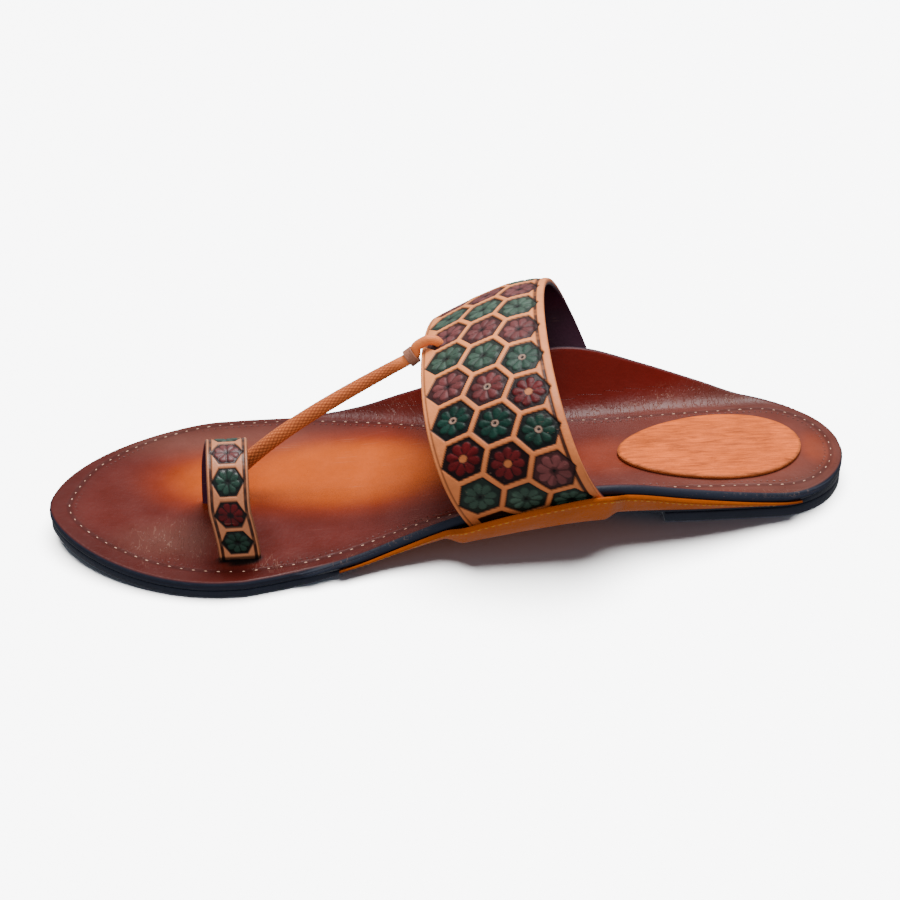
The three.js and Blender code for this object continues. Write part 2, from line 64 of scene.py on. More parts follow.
# Where the maker's origin stands in the row frame, and how far the sole's mesh stops short of its tips
STANDING = np.array([-131.0, 9.468, 0.0])
TIP = 0.15
# Height of a regular hexagon's triangles for a side of 1
HEX = 0.866
UP = np.array([0.0, 0.0, 1.0])


class Side(Enum):
    """Side of the foot; the value is its direction along y."""

    MEDIAL = 1
    LATERAL = -1


class Grain(Enum):
    """Surface of a leather; the values are its grain's size and depth in millimetres."""

    POLISHED = (1.1, 0.035)
    FINE = (0.9, 0.05)
    SUEDED = (0.45, 0.07)
    EDGE = (0.6, 0.05)


class Dye(Enum):
    """Colours that the pieces are dyed and painted with, as seen, in sRGB."""

    NATURAL = "#dd8650"
    NATURAL_DEEP = "#aa5f37"
    SADDLE = "#ad5107"
    SADDLE_DEEP = "#863f0d"
    BURGUNDY = "#521912"
    BURGUNDY_DARK = "#350d0a"
    EAR_RED = "#540a03"
    BURNISH = "#ad4a0a"
    BURNISH_DEEP = "#732407"
    NAVY = "#1b1f2b"
    UMBER = "#24100d"
    GREEN = "#0b2921"
    GREEN_LIGHT = "#38493e"
    MAROON = "#4b0a0d"
    MAROON_LIGHT = "#5f3535"
    GROUND = "#0a080a"
    LINING = "#2c1220"
    CORD = "#d4733f"
    CORD_DEEP = "#81381d"
    KEEPER = "#8b5d4b"
    PAD = "#c0571d"
    THREAD = "#bc9581"
    GOLD_THREAD = "#b98a3c"

    @property
    def linear(self) -> Array:
        """The dye as linear red, green and blue."""
        text = self.value.lstrip("#")
        srgb = np.array([int(text[i:i + 2], 16) / 255 for i in (0, 2, 4)])
        return np.where(srgb <= 0.04045, srgb / 12.92, ((srgb + 0.055) / 1.055) ** 2.4)


@dataclass(frozen=True)
class Finish:
    """How one leather looks: its dye, surface and wear."""

    slot: str
    dye: Dye
    grain: Grain = Grain.FINE
    roughness: float = 0.5
    mottle: float = 0.16
    mottle_size: float = 14.0
    streaks: float = 0.0
    scratches: float = 0.0
    specular: float = 0.2
    coat: float = 0.0
    toned: bool = False
    seamed: bool = False


# Numbers


def smooth(x: Array | float, low: float, high: float) -> Array:
    """Ease from 0 at low to 1 at high."""
    t = np.clip((np.asarray(x, float) - low) / (high - low), 0, 1)
    return t * t * (3 - 2 * t)


def between(x: Array | float, low: float, full: float, fade: float, end: float) -> Array:
    """Ease from 0 at low to 1 at full, and from 1 at fade back to 0 at end."""
    return smooth(x, low, full) * (1 - smooth(x, fade, end))


def unit(v: Array) -> Array:
    """Vectors of length 1 along the last axis."""
    return v / np.maximum(np.linalg.norm(v, axis=-1, keepdims=True), 1e-12)


def blend(a: Array, b: Array, share: Array | float) -> Array:
    """Mix two colours, or arrays of them, by a share for each point."""
    share = np.asarray(share, float)[..., None]
    return a * (1 - share) + b * share


def layered(base: Array, *layers: tuple[Array, Array | float]) -> Array:
    """Lay colours over a base, each with its share for each point."""
    for colour, share in layers:
        base = blend(base, colour, share)
    return base


def crowded(start: float, end: float, count: int, ends: float) -> Array:
    """Positions from start to end, closer together at both ends.

    Args:
        start: First position.
        end: Last position.
        count: Number of steps.
        ends: 0 for even steps, up to 1 for steps crowded at the ends.

    Returns:
        count + 1 positions.
    """
    t = np.linspace(0, 1, count + 1)
    return start + (end - start) * (t + ((1 - np.cos(np.pi * t)) / 2 - t) * ends)


def edged(width: float, step: float) -> Array:
    """Shares across a strap, fine over its rounded edges and even between them."""
    rim = np.array([0, 0.06, 0.16, 0.3, 0.48, 0.7, 1.0])
    inner = np.linspace(1.0, width - 1.0, max(2, round((width - 2) / step)) + 1)[1:-1]
    return np.concatenate([rim, inner, (width - rim)[::-1]]) / width


def thinned(count: int, ends: int, step: int) -> Array:
    """Numbers of the points that a hidden face keeps, last first: all at the ends, few between."""
    return np.r_[0:ends, ends:count - ends:step, count - ends:count][::-1]


def rounding(distance: Array, radius: Array | float) -> Array:
    """How far a rounded edge falls at a distance in from it."""
    inside = np.clip(radius - distance, 0, radius)
    return radius - np.sqrt(np.maximum(radius**2 - inside**2, 0))


def hashed(*keys: Array) -> Array:
    """A steady value from 0 to 1 for each set of whole numbers."""
    total = sum(np.asarray(k, float) * w for k, w in zip(keys, (12.9898, 78.233, 37.719)))
    return np.abs(np.modf(np.sin(total) * 43758.5453)[0])


def length_along(points: Array) -> Array:
    """Distance run along a line of points."""
    return np.concatenate([[0], np.cumsum(np.linalg.norm(np.diff(points, axis=0), axis=1))])


def resampled(line: Array, at: Array) -> Array:
    """Points of a line at distances along it."""
    run = length_along(line)
    return np.stack([np.interp(at, run, values) for values in line.T], 1)


def plan_tree(points: Array) -> kdtree.KDTree:
    """Tree that finds the nearest of some plan points."""
    tree = kdtree.KDTree(len(points))
    for i, point in enumerate(points):
        tree.insert((*point, 0), i)
    tree.balance()
    return tree


def distances(points: Array, outline: Array) -> Array:
    """Distance from each plan point to the nearest point of an outline."""
    tree = plan_tree(outline)
    return np.array([tree.find((*p, 0))[2] for p in points.reshape(-1, 2)]).reshape(points.shape[:-1])


def across_foot(lateral: Array, medial: Array, flat: int) -> Array:
    """Join points on two sides, each from the foot's middle outwards, over a flat stretch.

    Args:
        lateral: Rows of points on the lateral side.
        medial: Rows of points on the medial side.
        flat: Points to add between them.

    Returns:
        Rows from the lateral edge to the medial edge.
    """
    t = (np.arange(1, flat + 1) / (flat + 1))[None, :, None]
    lateral = lateral[:, ::-1]
    return np.concatenate([lateral, lateral[:, -1:] * (1 - t) + medial[:, :1] * t, medial], 1)


class Column:
    """Smooth curve through one column of a table, level at both ends."""

    def __init__(self, along: Sequence[float], values: Sequence[float]) -> None:
        self.along = np.array(along, float)
        self.values = np.array(values, float)
        self.slope = np.zeros(len(self.along))
        self.slope[1:-1] = (self.values[2:] - self.values[:-2]) / (self.along[2:] - self.along[:-2])

    def __call__(self, at: Array | float) -> Array:
        a, v, s = self.along, self.values, self.slope
        at = np.clip(np.asarray(at, float), a[0], a[-1])
        i = np.clip(np.searchsorted(a, at, "right") - 1, 0, len(a) - 2)
        span = a[i + 1] - a[i]
        t = (at - a[i]) / span
        ease = t * t * (3 - 2 * t)
        return v[i] + (v[i + 1] - v[i]) * ease + span * t * (1 - t) * ((1 - t) * s[i] - t * s[i + 1])


def columns(rows: Table) -> list[Column]:
    """One Column for each value after the first in rows of a table."""
    table = np.array(rows, float)
    return [Column(table[:, 0], values) for values in table.T[1:]]


# Meshes


def to_row(points: Array) -> Array:
    """Points of the maker's frame, in millimetres, in the row frame in metres."""
    return (np.asarray(points) + STANDING) / 1000


def placed(name: str, data: bpy.types.ID) -> bpy.types.Object:
    """New object in the scene that holds a mesh, lamp or camera."""
    made = bpy.data.objects.new(name, data)
    bpy.context.scene.collection.objects.link(made)
    return made


def shell(
    name: str, rings: Array, tones: Array | None = None, closed: bool = False, **floats: Array
) -> bpy.types.Object:
    """Closed, smooth mesh through rings of points.

    Args:
        name: Name of the object.
        rings: Points of every ring, rings x points x 3, in millimetres.
        tones: Linear colour for each point, or None.
        closed: Whether the last ring joins the first; open ends are capped.
        floats: Named values for each point.

    Returns:
        The object, linked into the scene.
    """
    count, around = rings.shape[:2]
    grid = np.arange(count * around).reshape(count, around)
    last = np.roll(grid, -1, 0) if closed else grid[1:]
    first = grid if closed else grid[:-1]
    quads = np.stack([first, np.roll(first, -1, 1), np.roll(last, -1, 1), last], -1).reshape(-1, 4)
    caps = [] if closed else [grid[0][::-1].tolist(), grid[-1].tolist()]
    mesh = bpy.data.meshes.new(name)
    mesh.from_pydata(to_row(rings.reshape(-1, 3)).tolist(), [], quads.tolist() + caps)
    if tones is not None:
        rgba = np.concatenate([tones.reshape(-1, 3), np.ones((count * around, 1))], 1)
        mesh.attributes.new("tone", "FLOAT_COLOR", "POINT").data.foreach_set("color", rgba.ravel())
    for key, values in floats.items():
        values = np.ascontiguousarray(values, float).ravel()
        mesh.attributes.new(key, "FLOAT", "POINT").data.foreach_set("value", values)
    bm = bmesh.new()
    bm.from_mesh(mesh)
    bmesh.ops.remove_doubles(bm, verts=bm.verts, dist=1e-7)
    bmesh.ops.recalc_face_normals(bm, faces=bm.faces)
    for face in bm.faces:
        face.smooth = True
    bm.to_mesh(mesh)
    bm.free()
    return placed(name, mesh)


@dataclass(frozen=True)
class Painted:
    """What a strap's outer face carries at each point, along x across."""

    tone: Array
    height: Array
    dull: Array


def strap(
    name: str, middle: Array, out: Array, wall: float, radius: float, face: Painted, lining: Array,
    lining_dull: float | None = None,
) -> bpy.types.Object:
    """Strap whose outer face carries relief and paint.

    Args:
        name: Name of the object.
        middle: Points on the strap's middle surface, along x across x 3.
        out: Outward unit vectors there.
        wall: Thickness.
        radius: Radius of the rounded edges.
        face: Colour, relief and dullness of the outer face.
        lining: Colour of the inner face.
        lining_dull: Its added roughness, or None for what the outer face has there.

    Returns:
        The strap.
    """
    widths = np.linalg.norm(np.diff(middle, axis=1), axis=2)
    run = np.concatenate([np.zeros((len(middle), 1)), np.cumsum(widths, 1)], 1)
    half = wall / 2 - rounding(np.minimum(run, run[:, -1:] - run), radius)
    kept = thinned(middle.shape[1], 7, 5)
    outer = middle + out * (half + face.height)[..., None]
    rings = np.concatenate([outer, (middle - out * half[..., None])[:, kept]], 1)
    tones = np.concatenate([face.tone, np.broadcast_to(lining, (len(middle), len(kept), 3))], 1)
    inner = face.dull[:, kept] if lining_dull is None else np.full((len(middle), len(kept)), lining_dull)
    return shell(name, rings, tones, dull=np.concatenate([face.dull, inner], 1))


# Leathers


class Nodes:
    """Adds nodes to a tree."""

    def __init__(self, tree: bpy.types.NodeTree) -> None:
        self.tree = tree

    def add(self, kind: str, inputs: dict | None = None, **settings) -> bpy.types.Node:
        """Add a node.

        Args:
            kind: Node type.
            inputs: Values or sockets by input name or number.
            settings: Node properties.

        Returns:
            The node.
        """
        made = self.tree.nodes.new(kind)
        for key, value in settings.items():
            setattr(made, key, value)
        for key, value in (inputs or {}).items():
            if isinstance(value, Socket):
                self.tree.links.new(value, made.inputs[key])
            else:
                made.inputs[key].default_value = value
        return made


class Leather(Nodes):
    """Procedural leather: builds one material from a Finish."""

    def __init__(self, finish: Finish) -> None:
        self.finish = finish
        self.material = bpy.data.materials.new(finish.slot)
        self.material.use_nodes = True
        super().__init__(self.material.node_tree)
        self.tree.nodes.clear()
        self.place = self.add("ShaderNodeTexCoord").outputs["Object"]

    def maths(self, operation: str, *values: Socket | float) -> Socket:
        """One number from others."""
        return self.add("ShaderNodeMath", dict(enumerate(values)), operation=operation).outputs[0]

    def product(self, first: Socket | float, *others: Socket | float) -> Socket | float:
        """All the numbers multiplied."""
        for other in others:
            first = self.maths("MULTIPLY", first, other)
        return first

    def plus(self, total: Socket | float, value: Socket, times: float) -> Socket:
        """A total with a number of times a value added."""
        return self.maths("MULTIPLY_ADD", value, times, total)

    def mix(self, factor: Socket | float, a: Socket | tuple, b: Socket | Array, kind: str = "MIX") -> Socket:
        """One colour from two."""
        inputs = {0: factor, 6: a, 7: (*b, 1) if isinstance(b, Array) else b}
        return self.add("ShaderNodeMix", inputs, data_type="RGBA", blend_type=kind).outputs[2]

    def step(self, value: Socket, low: float, high: float, start: float = 0.0, end: float = 1.0) -> Socket:
        """Ease from start at low to end at high."""
        inputs = dict(enumerate((value, low, high, start, end)))
        return self.add("ShaderNodeMapRange", inputs, interpolation_type="SMOOTHSTEP").outputs[0]

    def noise(
        self, size: float, detail: float, stretch: Sequence[float] = (1, 1, 1), turn: float = 0.0,
        wavy: float = 0.0,
    ) -> Socket:
        """Cloudy value from 0 to 1.

        Args:
            size: Size of its features in millimetres.
            detail: How many finer layers it has.
            stretch: How far the features are drawn out along x, y and z.
            turn: Turn about z in radians.
            wavy: How far the noise bends itself.

        Returns:
            The value.
        """
        scale = [1000 / size / s for s in stretch]
        place = {"Vector": self.place, "Scale": scale, "Rotation": (0, 0, turn)}
        place = self.add("ShaderNodeMapping", place).outputs[0]
        inputs = {"Vector": place, "Scale": 1.0, "Detail": detail, "Distortion": wavy}
        return self.add("ShaderNodeTexNoise", inputs).outputs[0]

    def centred(self, *form, **more) -> Socket:
        """Noise from -0.5 to 0.5."""
        return self.maths("SUBTRACT", self.noise(*form, **more), 0.5)

    def value(self, name: str, output: str = "Fac") -> Socket:
        """A named value that the mesh carries."""
        return self.add("ShaderNodeAttribute", attribute_name=name).outputs[output]

    def colour(self) -> Socket:
        """The dye with its clouds, flecks and streaks."""
        finish = self.finish
        base = self.value("tone", "Color") if finish.toned else (*finish.dye.linear, 1)
        tone = self.plus(1.0, self.centred(finish.mottle_size, 4.0), 2 * finish.mottle)
        tone = self.plus(tone, self.centred(finish.grain.value[0] * 1.6, 3.0), finish.mottle)
        if finish.streaks:
            tone = self.plus(tone, self.centred(1.3, 5.0, (6, 1, 1), 0.06, wavy=0.9), finish.streaks)
        shade = self.add("ShaderNodeCombineColor", {0: tone, 1: tone, 2: tone}).outputs[0]
        return self.mix(1.0, base, shade, "MULTIPLY")

    def height(self) -> Socket:
        """Height of the surface in millimetres: pores, swellings and fibres."""
        size, depth = self.finish.grain.value
        cells = {"Vector": self.place, "Scale": 1000 / size, "Randomness": 1.0}
        pores = self.add("ShaderNodeTexVoronoi", cells, feature="F1").outputs["Distance"]
        height = self.plus(self.product(pores, -depth), self.noise(size * 3, 4.0), depth * 2.2)
        if self.finish.streaks:
            height = self.plus(height, self.noise(0.9, 3.0, (16, 1, 1), 0.06), depth * 2)
        return height

    def creases(self, colour: Socket, height: Socket) -> tuple[Socket, Socket]:
        """Fine creases where the mesh says that the leather is creased, their lines painted pale as a
        highlight.
        """
        away = self.maths("ABSOLUTE", self.centred(2.6, 2.0, (0.6, 2.6, 1.0), 0.35))
        lines = self.product(self.step(away, 0.0, 0.03, 1.0, 0.0), self.value("crease"))
        # Painted highlight: the creases' lines made pale in patches
        pale = self.product(lines, self.step(self.noise(7.0, 2.0), 0.4, 0.6), 0.16)
        return self.mix(pale, colour, Dye.THREAD.linear), self.plus(height, lines, -0.07)

    def seam(self, colour: Socket, height: Socket) -> tuple[Socket, Socket]:
        """Press the stitched groove and the second row of awl marks into colour and height."""
        away, pace, row_gap = self.value("seam"), 2.15, 2.0
        groove = self.step(self.maths("ABSOLUTE", away), 0.35, 1.3, 1.0, 0.0)
        turn = self.maths("FRACT", self.maths("DIVIDE", self.value("run"), pace))
        along = self.product(self.maths("SUBTRACT", turn, 0.5), pace)
        beside = self.maths("SUBTRACT", away, row_gap)
        squares = self.maths("ADD", self.product(along, along), self.product(beside, beside))
        near = self.maths("SQRT", squares)
        fresh = self.step(self.noise(26.0, 1.0), 0.35, 0.6)
        marks = self.product(self.step(near, 0.2, 0.55, 1.0, 0.0), fresh)
        height = self.plus(self.plus(height, groove, -0.06), marks, -0.12)
        # Darkened in the groove, and painted shade in the awl marks' holes
        dark = self.maths("MAXIMUM", self.product(groove, 0.4), self.product(marks, 0.55))
        return self.mix(dark, colour, Dye.BURGUNDY_DARK.linear * 0.6), height

    def build(self) -> bpy.types.Material:
        """Join the parts into a surface.

        Returns:
            The material.
        """
        finish = self.finish
        colour, height = self.colour(), self.height()
        if finish.seamed:
            colour, height = self.seam(*self.creases(colour, height))
        rough = self.plus(finish.roughness, self.centred(9.0, 5.0), 0.35)
        if finish.toned:
            rough = self.maths("ADD", rough, self.value("dull"))
        if finish.scratches:
            one, other = self.noise(0.5, 1.0, (30, 1, 1), 0.5), self.noise(0.45, 1.0, (26, 1, 1), -0.35)
            lines = self.step(self.maths("MINIMUM", one, other), 0.60, 0.66)
            worn = self.product(lines, self.step(self.noise(22.0, 2.0), 0.5, 0.62), finish.scratches)
            colour = self.mix(worn, colour, Dye.THREAD.linear)
            rough = self.plus(rough, worn, 0.2)
        bump = self.add("ShaderNodeBump", {"Strength": 1.0, "Distance": 0.001, "Height": height})
        surface = self.add("ShaderNodeBsdfPrincipled", {
            "Base Color": colour,
            "Roughness": self.maths("MAXIMUM", rough, 0.08),
            "Normal": bump.outputs[0],
            "Specular IOR Level": finish.specular,
            "Coat Weight": finish.coat,
            "Coat Roughness": 0.22,
        })
        self.add("ShaderNodeOutputMaterial", {0: surface.outputs[0]})
        return self.material


def dress(piece: bpy.types.Object, finish: Finish, *nodes: str) -> bpy.types.Object:
    """Give a piece its leather and tie it to the frame.

    Args:
        piece: The finished mesh object.
        finish: Its leather.
        nodes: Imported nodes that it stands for.

    Returns:
        The piece.
    """
    piece.data.materials.clear()
    piece.data.materials.append(Leather(finish).build())
    if nodes:
        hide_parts(*nodes)
    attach(piece, "root")
    log.info("%s: %d faces", piece.name, len(piece.data.polygons))
    return piece


class Piece:
    """Part of the sandal that is one piece of leather, named by its finish."""

    finish: Finish

    def dress(self, made: bpy.types.Object) -> None:
        """Give the piece its leather."""
        dress(made, self.finish, self.finish.slot)


# The shape of the foot


@dataclass
class Last:
    """Shape that all the pieces share: sole outline, heights of the layers, and waist ears."""

    length: float = 262.0
    ball_width: float = 94.6
    heel_lift: float = 3.4
    heel_lift_length: float = 64.0
    outsole: float = 2.6
    outsole_inset: float = 0.6
    waist_inset: float = 5.5
    outsole_skive: float = 1.2
    insole: float = 3.2
    toe_spring: float = 4.8
    spring_start: float = 0.82
    arch_end: float = 0.635
    gap: float = 0.3
    ear_rise: float = 17.4
    ear_flare: float = 16.3
    ear_belly: float = 0.15
    edge_bend: float = 4.0
    bend_of_width: float = 0.3
    wrap: float = 1.6
    wrap_skived: float = 0.7
    wrap_back: float = 20.0
    wrap_front: float = 171.0
    wrap_lap: float = 5.0
    # How far from its back and front end the wrap reaches its full thickness
    wrap_skives: tuple[float, float] = (45.0, 35.0)
    # Ends of the outline: share of the length, middle as a share of the ball's width, roundness
    heel_cap: tuple[float, float, float] = (0.103, -0.109, 2.0)
    toe_cap: tuple[float, float, float] = (0.789, 0.042, 1.7)
    # Share of the length, and the medial and lateral edge in shares of the ball's width
    outline: Table = (
        (0.103, 0.192, 0.410), (0.197, 0.190, 0.404), (0.292, 0.180, 0.389), (0.369, 0.180, 0.387),
        (0.445, 0.196, 0.402), (0.514, 0.227, 0.431), (0.579, 0.291, 0.481), (0.636, 0.365, 0.510),
        (0.693, 0.428, 0.523), (0.762, 0.474, 0.524), (0.789, 0.476, 0.521),
    )
    # Share of the length, and the ears' rise and flare there as shares of the full ones
    ears: Table = (
        (0.02, 0, 0), (0.10, 0.10, 0.12), (0.16, 0.33, 0.39), (0.24, 0.66, 0.72), (0.30, 0.92, 0.93),
        (0.345, 1, 1), (0.39, 0.93, 0.96), (0.45, 0.75, 0.80), (0.55, 0.36, 0.42), (0.60, 0.17, 0.21),
        (0.66, 0.04, 0.04), (0.71, 0, 0),
    )

    def __post_init__(self) -> None:
        self.halves = dict(zip(Side, columns(self.outline)))
        self.rise, self.flare = columns(self.ears)

    def edge(self, x: Array, side: Side) -> Array:
        """Edge of the flat sole on one side."""
        along = np.asarray(x, float) / self.length
        full = side.value * self.halves[side](along)

        def rounded(cap: tuple[float, float, float], u: Array) -> Array:
            _, middle, power = cap
            return middle + (full - middle) * (1 - np.clip(u, 0, 1) ** power) ** (1 / power)

        heel = rounded(self.heel_cap, 1 - along / self.heel_cap[0])
        toe = rounded(self.toe_cap, (along - self.toe_cap[0]) / (1 - self.toe_cap[0]))
        inner = np.where(along > self.toe_cap[0], toe, full)
        return self.ball_width * np.where(along < self.heel_cap[0], heel, inner)

    def width(self, x: Array) -> Array:
        """Width of the flat sole."""
        return self.edge(x, Side.MEDIAL) - self.edge(x, Side.LATERAL)

    def wrap_share(self, x: Array) -> Array:
        """How full the wrap's thickness is, from 0 at its thinned ends to 1."""
        back, front = self.wrap_skives
        return between(x, self.wrap_back, self.wrap_back + back, self.wrap_front - front, self.wrap_front)

    def wrap_lapped(self, x: Array) -> Array:
        """How far the outsole makes room for the wrap."""
        back, front, lap = self.wrap_back, self.wrap_front, self.wrap_lap
        return between(x, back - lap, back - 1, front + 1, front + lap)

    def wrap_wall(self, x: Array) -> Array:
        """Thickness of the wrap."""
        return self.wrap_skived + (self.wrap - self.wrap_skived) * self.wrap_share(x)

    def tread(self, x: Array) -> Array:
        """Height of the outsole's underside."""
        x = np.asarray(x, float)
        lifted = 1 - smooth(x, self.heel_lift_length, self.arch_end * self.length)
        spring = np.maximum(0, (x / self.length - self.spring_start) / (1 - self.spring_start))
        return (self.heel_lift + self.gap) * lifted + self.toe_spring * spring * spring

    def insole_under(self, x: Array) -> Array:
        """Height of the insole's underside."""
        rest = self.wrap + self.gap - self.outsole_skive
        return self.tread(x) + self.outsole + self.gap + rest * self.wrap_share(x)

    def outsole_top(self, x: Array) -> Array:
        """Height of the outsole's upper face."""
        return self.insole_under(x) - self.gap - self.wrap_lapped(x) * (self.wrap_wall(x) + self.gap)

    def footbed(self, x: Array) -> Array:
        """Height of the insole's upper face."""
        return self.insole_under(x) + self.insole

    def ear_length(self, x: Array) -> Array:
        """Length of the ear's face from the bend to its edge."""
        along = np.asarray(x, float) / self.length
        rise, flare = self.ear_rise * self.rise(along), self.ear_flare * self.flare(along)
        return self.edge_bend + np.hypot(rise, flare)

    def ear_point(self, x: Array, side: Side, u: Array, depth: Array | float = 0.0) -> Array:
        """Point on the insole's upper face.

        Args:
            x: Distance from the heel.
            side: Side of the foot.
            u: 0 at the bend to 1 at the ear's edge.
            depth: How far under the face, outwards.

        Returns:
            Points.
        """
        x, u, depth = np.broadcast_arrays(*(np.asarray(given, float) for given in (x, u, depth)))
        bend = np.minimum(self.edge_bend, self.bend_of_width * self.width(x))
        flare = self.ear_flare * self.flare(x / self.length)
        rise = self.ear_rise * self.rise(x / self.length)
        first = bend + self.ear_belly * flare
        out = 2 * u * (1 - u) * first + u * u * (bend + flare)
        # Just short of the edge the face has a slope even where the ear has run out
        v = np.minimum(u, 0.98)
        level, up = (1 - v) * first + v * (1 - self.ear_belly) * flare, v * rise
        size = np.maximum(np.hypot(level, up), 1e-9)
        y = self.edge(x, side) + side.value * (out - bend + up / size * depth)
        return np.stack([x, y, self.footbed(x) + u * u * rise - level / size * depth], -1)

    def section(self, x: Array, shares: Array, flat: int, depth: float) -> Array:
        """Rows of points across the foot, lateral edge to medial edge.

        Args:
            x: Distances from the heel.
            shares: Values of u from the bend (0) to the ear's edge (1).
            flat: Points between the two bends.
            depth: Distance under the insole's upper face.

        Returns:
            Points, len(x) x (2 * len(shares) + flat) x 3.
        """
        medial, lateral = (self.ear_point(x[:, None], side, shares[None], depth) for side in Side)
        return across_foot(lateral, medial, flat)

    def border(self) -> Array:
        """Closed outline of the flat sole, medial side first from the heel, a point each half millimetre."""
        x = crowded(0, self.length, 3000, 1.0)
        medial, lateral = (np.stack([x, self.edge(x, side)], 1) for side in Side)
        line = np.concatenate([medial, lateral[::-1]])
        return resampled(line, np.arange(0, length_along(line)[-1], 0.5))


@dataclass
class Sole:
    """Outsole and heel lift: stacked leather with dyed, rounded edges."""

    last: Last
    radius: float = 0.7
    rows: int = 260
    # How far the outsole takes to draw in behind the heel lift and before the wrap's front end
    drawn: tuple[float, float] = (25.0, 30.0)
    finish: Finish = Finish(
        "outsole", Dye.NAVY, Grain.EDGE, roughness=0.42, mottle=0.3, streaks=0.35, scratches=0.25
    )
    lift_finish: Finish = Finish("heel_lift", Dye.NAVY, Grain.EDGE, roughness=0.48, mottle=0.3, streaks=0.3)

    def plan(self, x: Array, side: Side) -> Array:
        """Edge of the outsole, drawn in from the insole's edge under the ears."""
        last, (back, front) = self.last, self.drawn
        lift = last.heel_lift_length
        under = between(x, lift, lift + back, last.wrap_front - front, last.wrap_front)
        inset = np.minimum(last.outsole_inset + last.waist_inset * under, 0.45 * last.width(x))
        return last.edge(x, side) - side.value * inset

    def layer(self, name: str, x: Array, top: Array, bottom: Array) -> bpy.types.Object:
        """One layer of the sole with rounded edges.

        Args:
            name: Name of the object.
            x: Distances from the heel.
            top: Height of the upper face at each.
            bottom: Height of the lower face at each.

        Returns:
            The layer.
        """
        low, high = self.plan(x, Side.LATERAL), self.plan(x, Side.MEDIAL)
        radius = np.minimum(self.radius, 0.4 * np.minimum(top - bottom, high - low))
        arc = np.radians(np.linspace(0, 90, 5))
        points: list[Array] = []
        corners = ((high, 1, bottom, -1), (high, 1, top, 1), (low, -1, top, 1), (low, -1, bottom, -1))
        for y, out, z, up in corners:
            # The ring runs from a face to a side at one corner, and from a side to a face at the next
            for a in arc if out == -up else arc[::-1]:
                y_in, z_in = radius * (1 - np.sin(a)), radius * (1 - np.cos(a))
                points.append(np.stack([x, y - out * y_in, z - up * z_in], -1))
        return shell(name, np.stack(points, 1))

    def build(self) -> dict[str, bpy.types.Object]:
        """Make both layers.

        Returns:
            The pieces by name.
        """
        last = self.last
        inset = last.outsole_inset + TIP
        x = crowded(inset, last.length - inset, self.rows, 0.95)
        outsole = self.layer("outsole_leather", x, last.outsole_top(x), last.tread(x))
        x = crowded(inset, last.heel_lift_length, self.rows // 3, 0.95)
        lift = self.layer("heel_lift_leather", x, np.full(len(x), last.heel_lift), np.zeros(len(x)))
        return {"outsole": outsole, "lift": lift}

    def dress(self, made: dict[str, bpy.types.Object]) -> None:
        """Give both layers their leather."""
        dress(made["outsole"], self.finish, "outsole")
        dress(made["lift"], self.lift_finish, "heel_lift")


@dataclass
class Seam:
    """Row of hand stitches round the footbed, set in from the sole's edge."""

    last: Last
    pitch: float = 3.9
    # Share of the length, and how far the seam is set in on the medial and the lateral side
    insets: Table = (
        (0.00, 3.8, 3.8), (0.05, 4.0, 4.2), (0.12, 5.2, 5.4), (0.25, 5.4, 6.2), (0.36, 4.8, 4.6),
        (0.50, 4.4, 4.6), (0.58, 3.7, 4.0), (0.66, 3.4, 3.2), (0.72, 4.6, 2.8), (0.79, 6.2, 2.9),
        (0.87, 6.7, 3.1), (0.95, 7.0, 4.0), (1.00, 6.2, 6.2),
    )

    def __post_init__(self) -> None:
        medial, lateral = columns(self.insets)
        line = self.last.border()
        along = line[:, 0] / self.last.length
        inset = np.where(np.arange(len(line)) < len(line) // 2, medial(along), lateral(along))
        ahead = np.roll(line, -8, 0) - np.roll(line, 8, 0)
        inward = unit(np.stack([-ahead[:, 1], ahead[:, 0]], 1))
        inward *= np.where(((line.mean(0) - line) * inward).sum(1) < 0, -1, 1)[:, None]
        path = line + inward * inset[:, None]
        for _ in range(30):
            path = (np.roll(path, 1, 0) + 2 * path + np.roll(path, -1, 0)) / 4
        self.path, self.run = path, length_along(path)
        self.tree, self.border = plan_tree(path), plan_tree(line)

    def measure(self, points: Array) -> tuple[Array, Array]:
        """Signed distance inside the seam and the distance run along it, for plan points."""
        away, run = np.zeros(len(points)), np.zeros(len(points))
        for k, point in enumerate(points):
            near, i, distance = self.tree.find((*point, 0))
            inside = self.border.find((*point, 0))[2] > self.border.find(near)[2]
            away[k], run[k] = distance if inside else -distance, self.run[i]
        return away, run


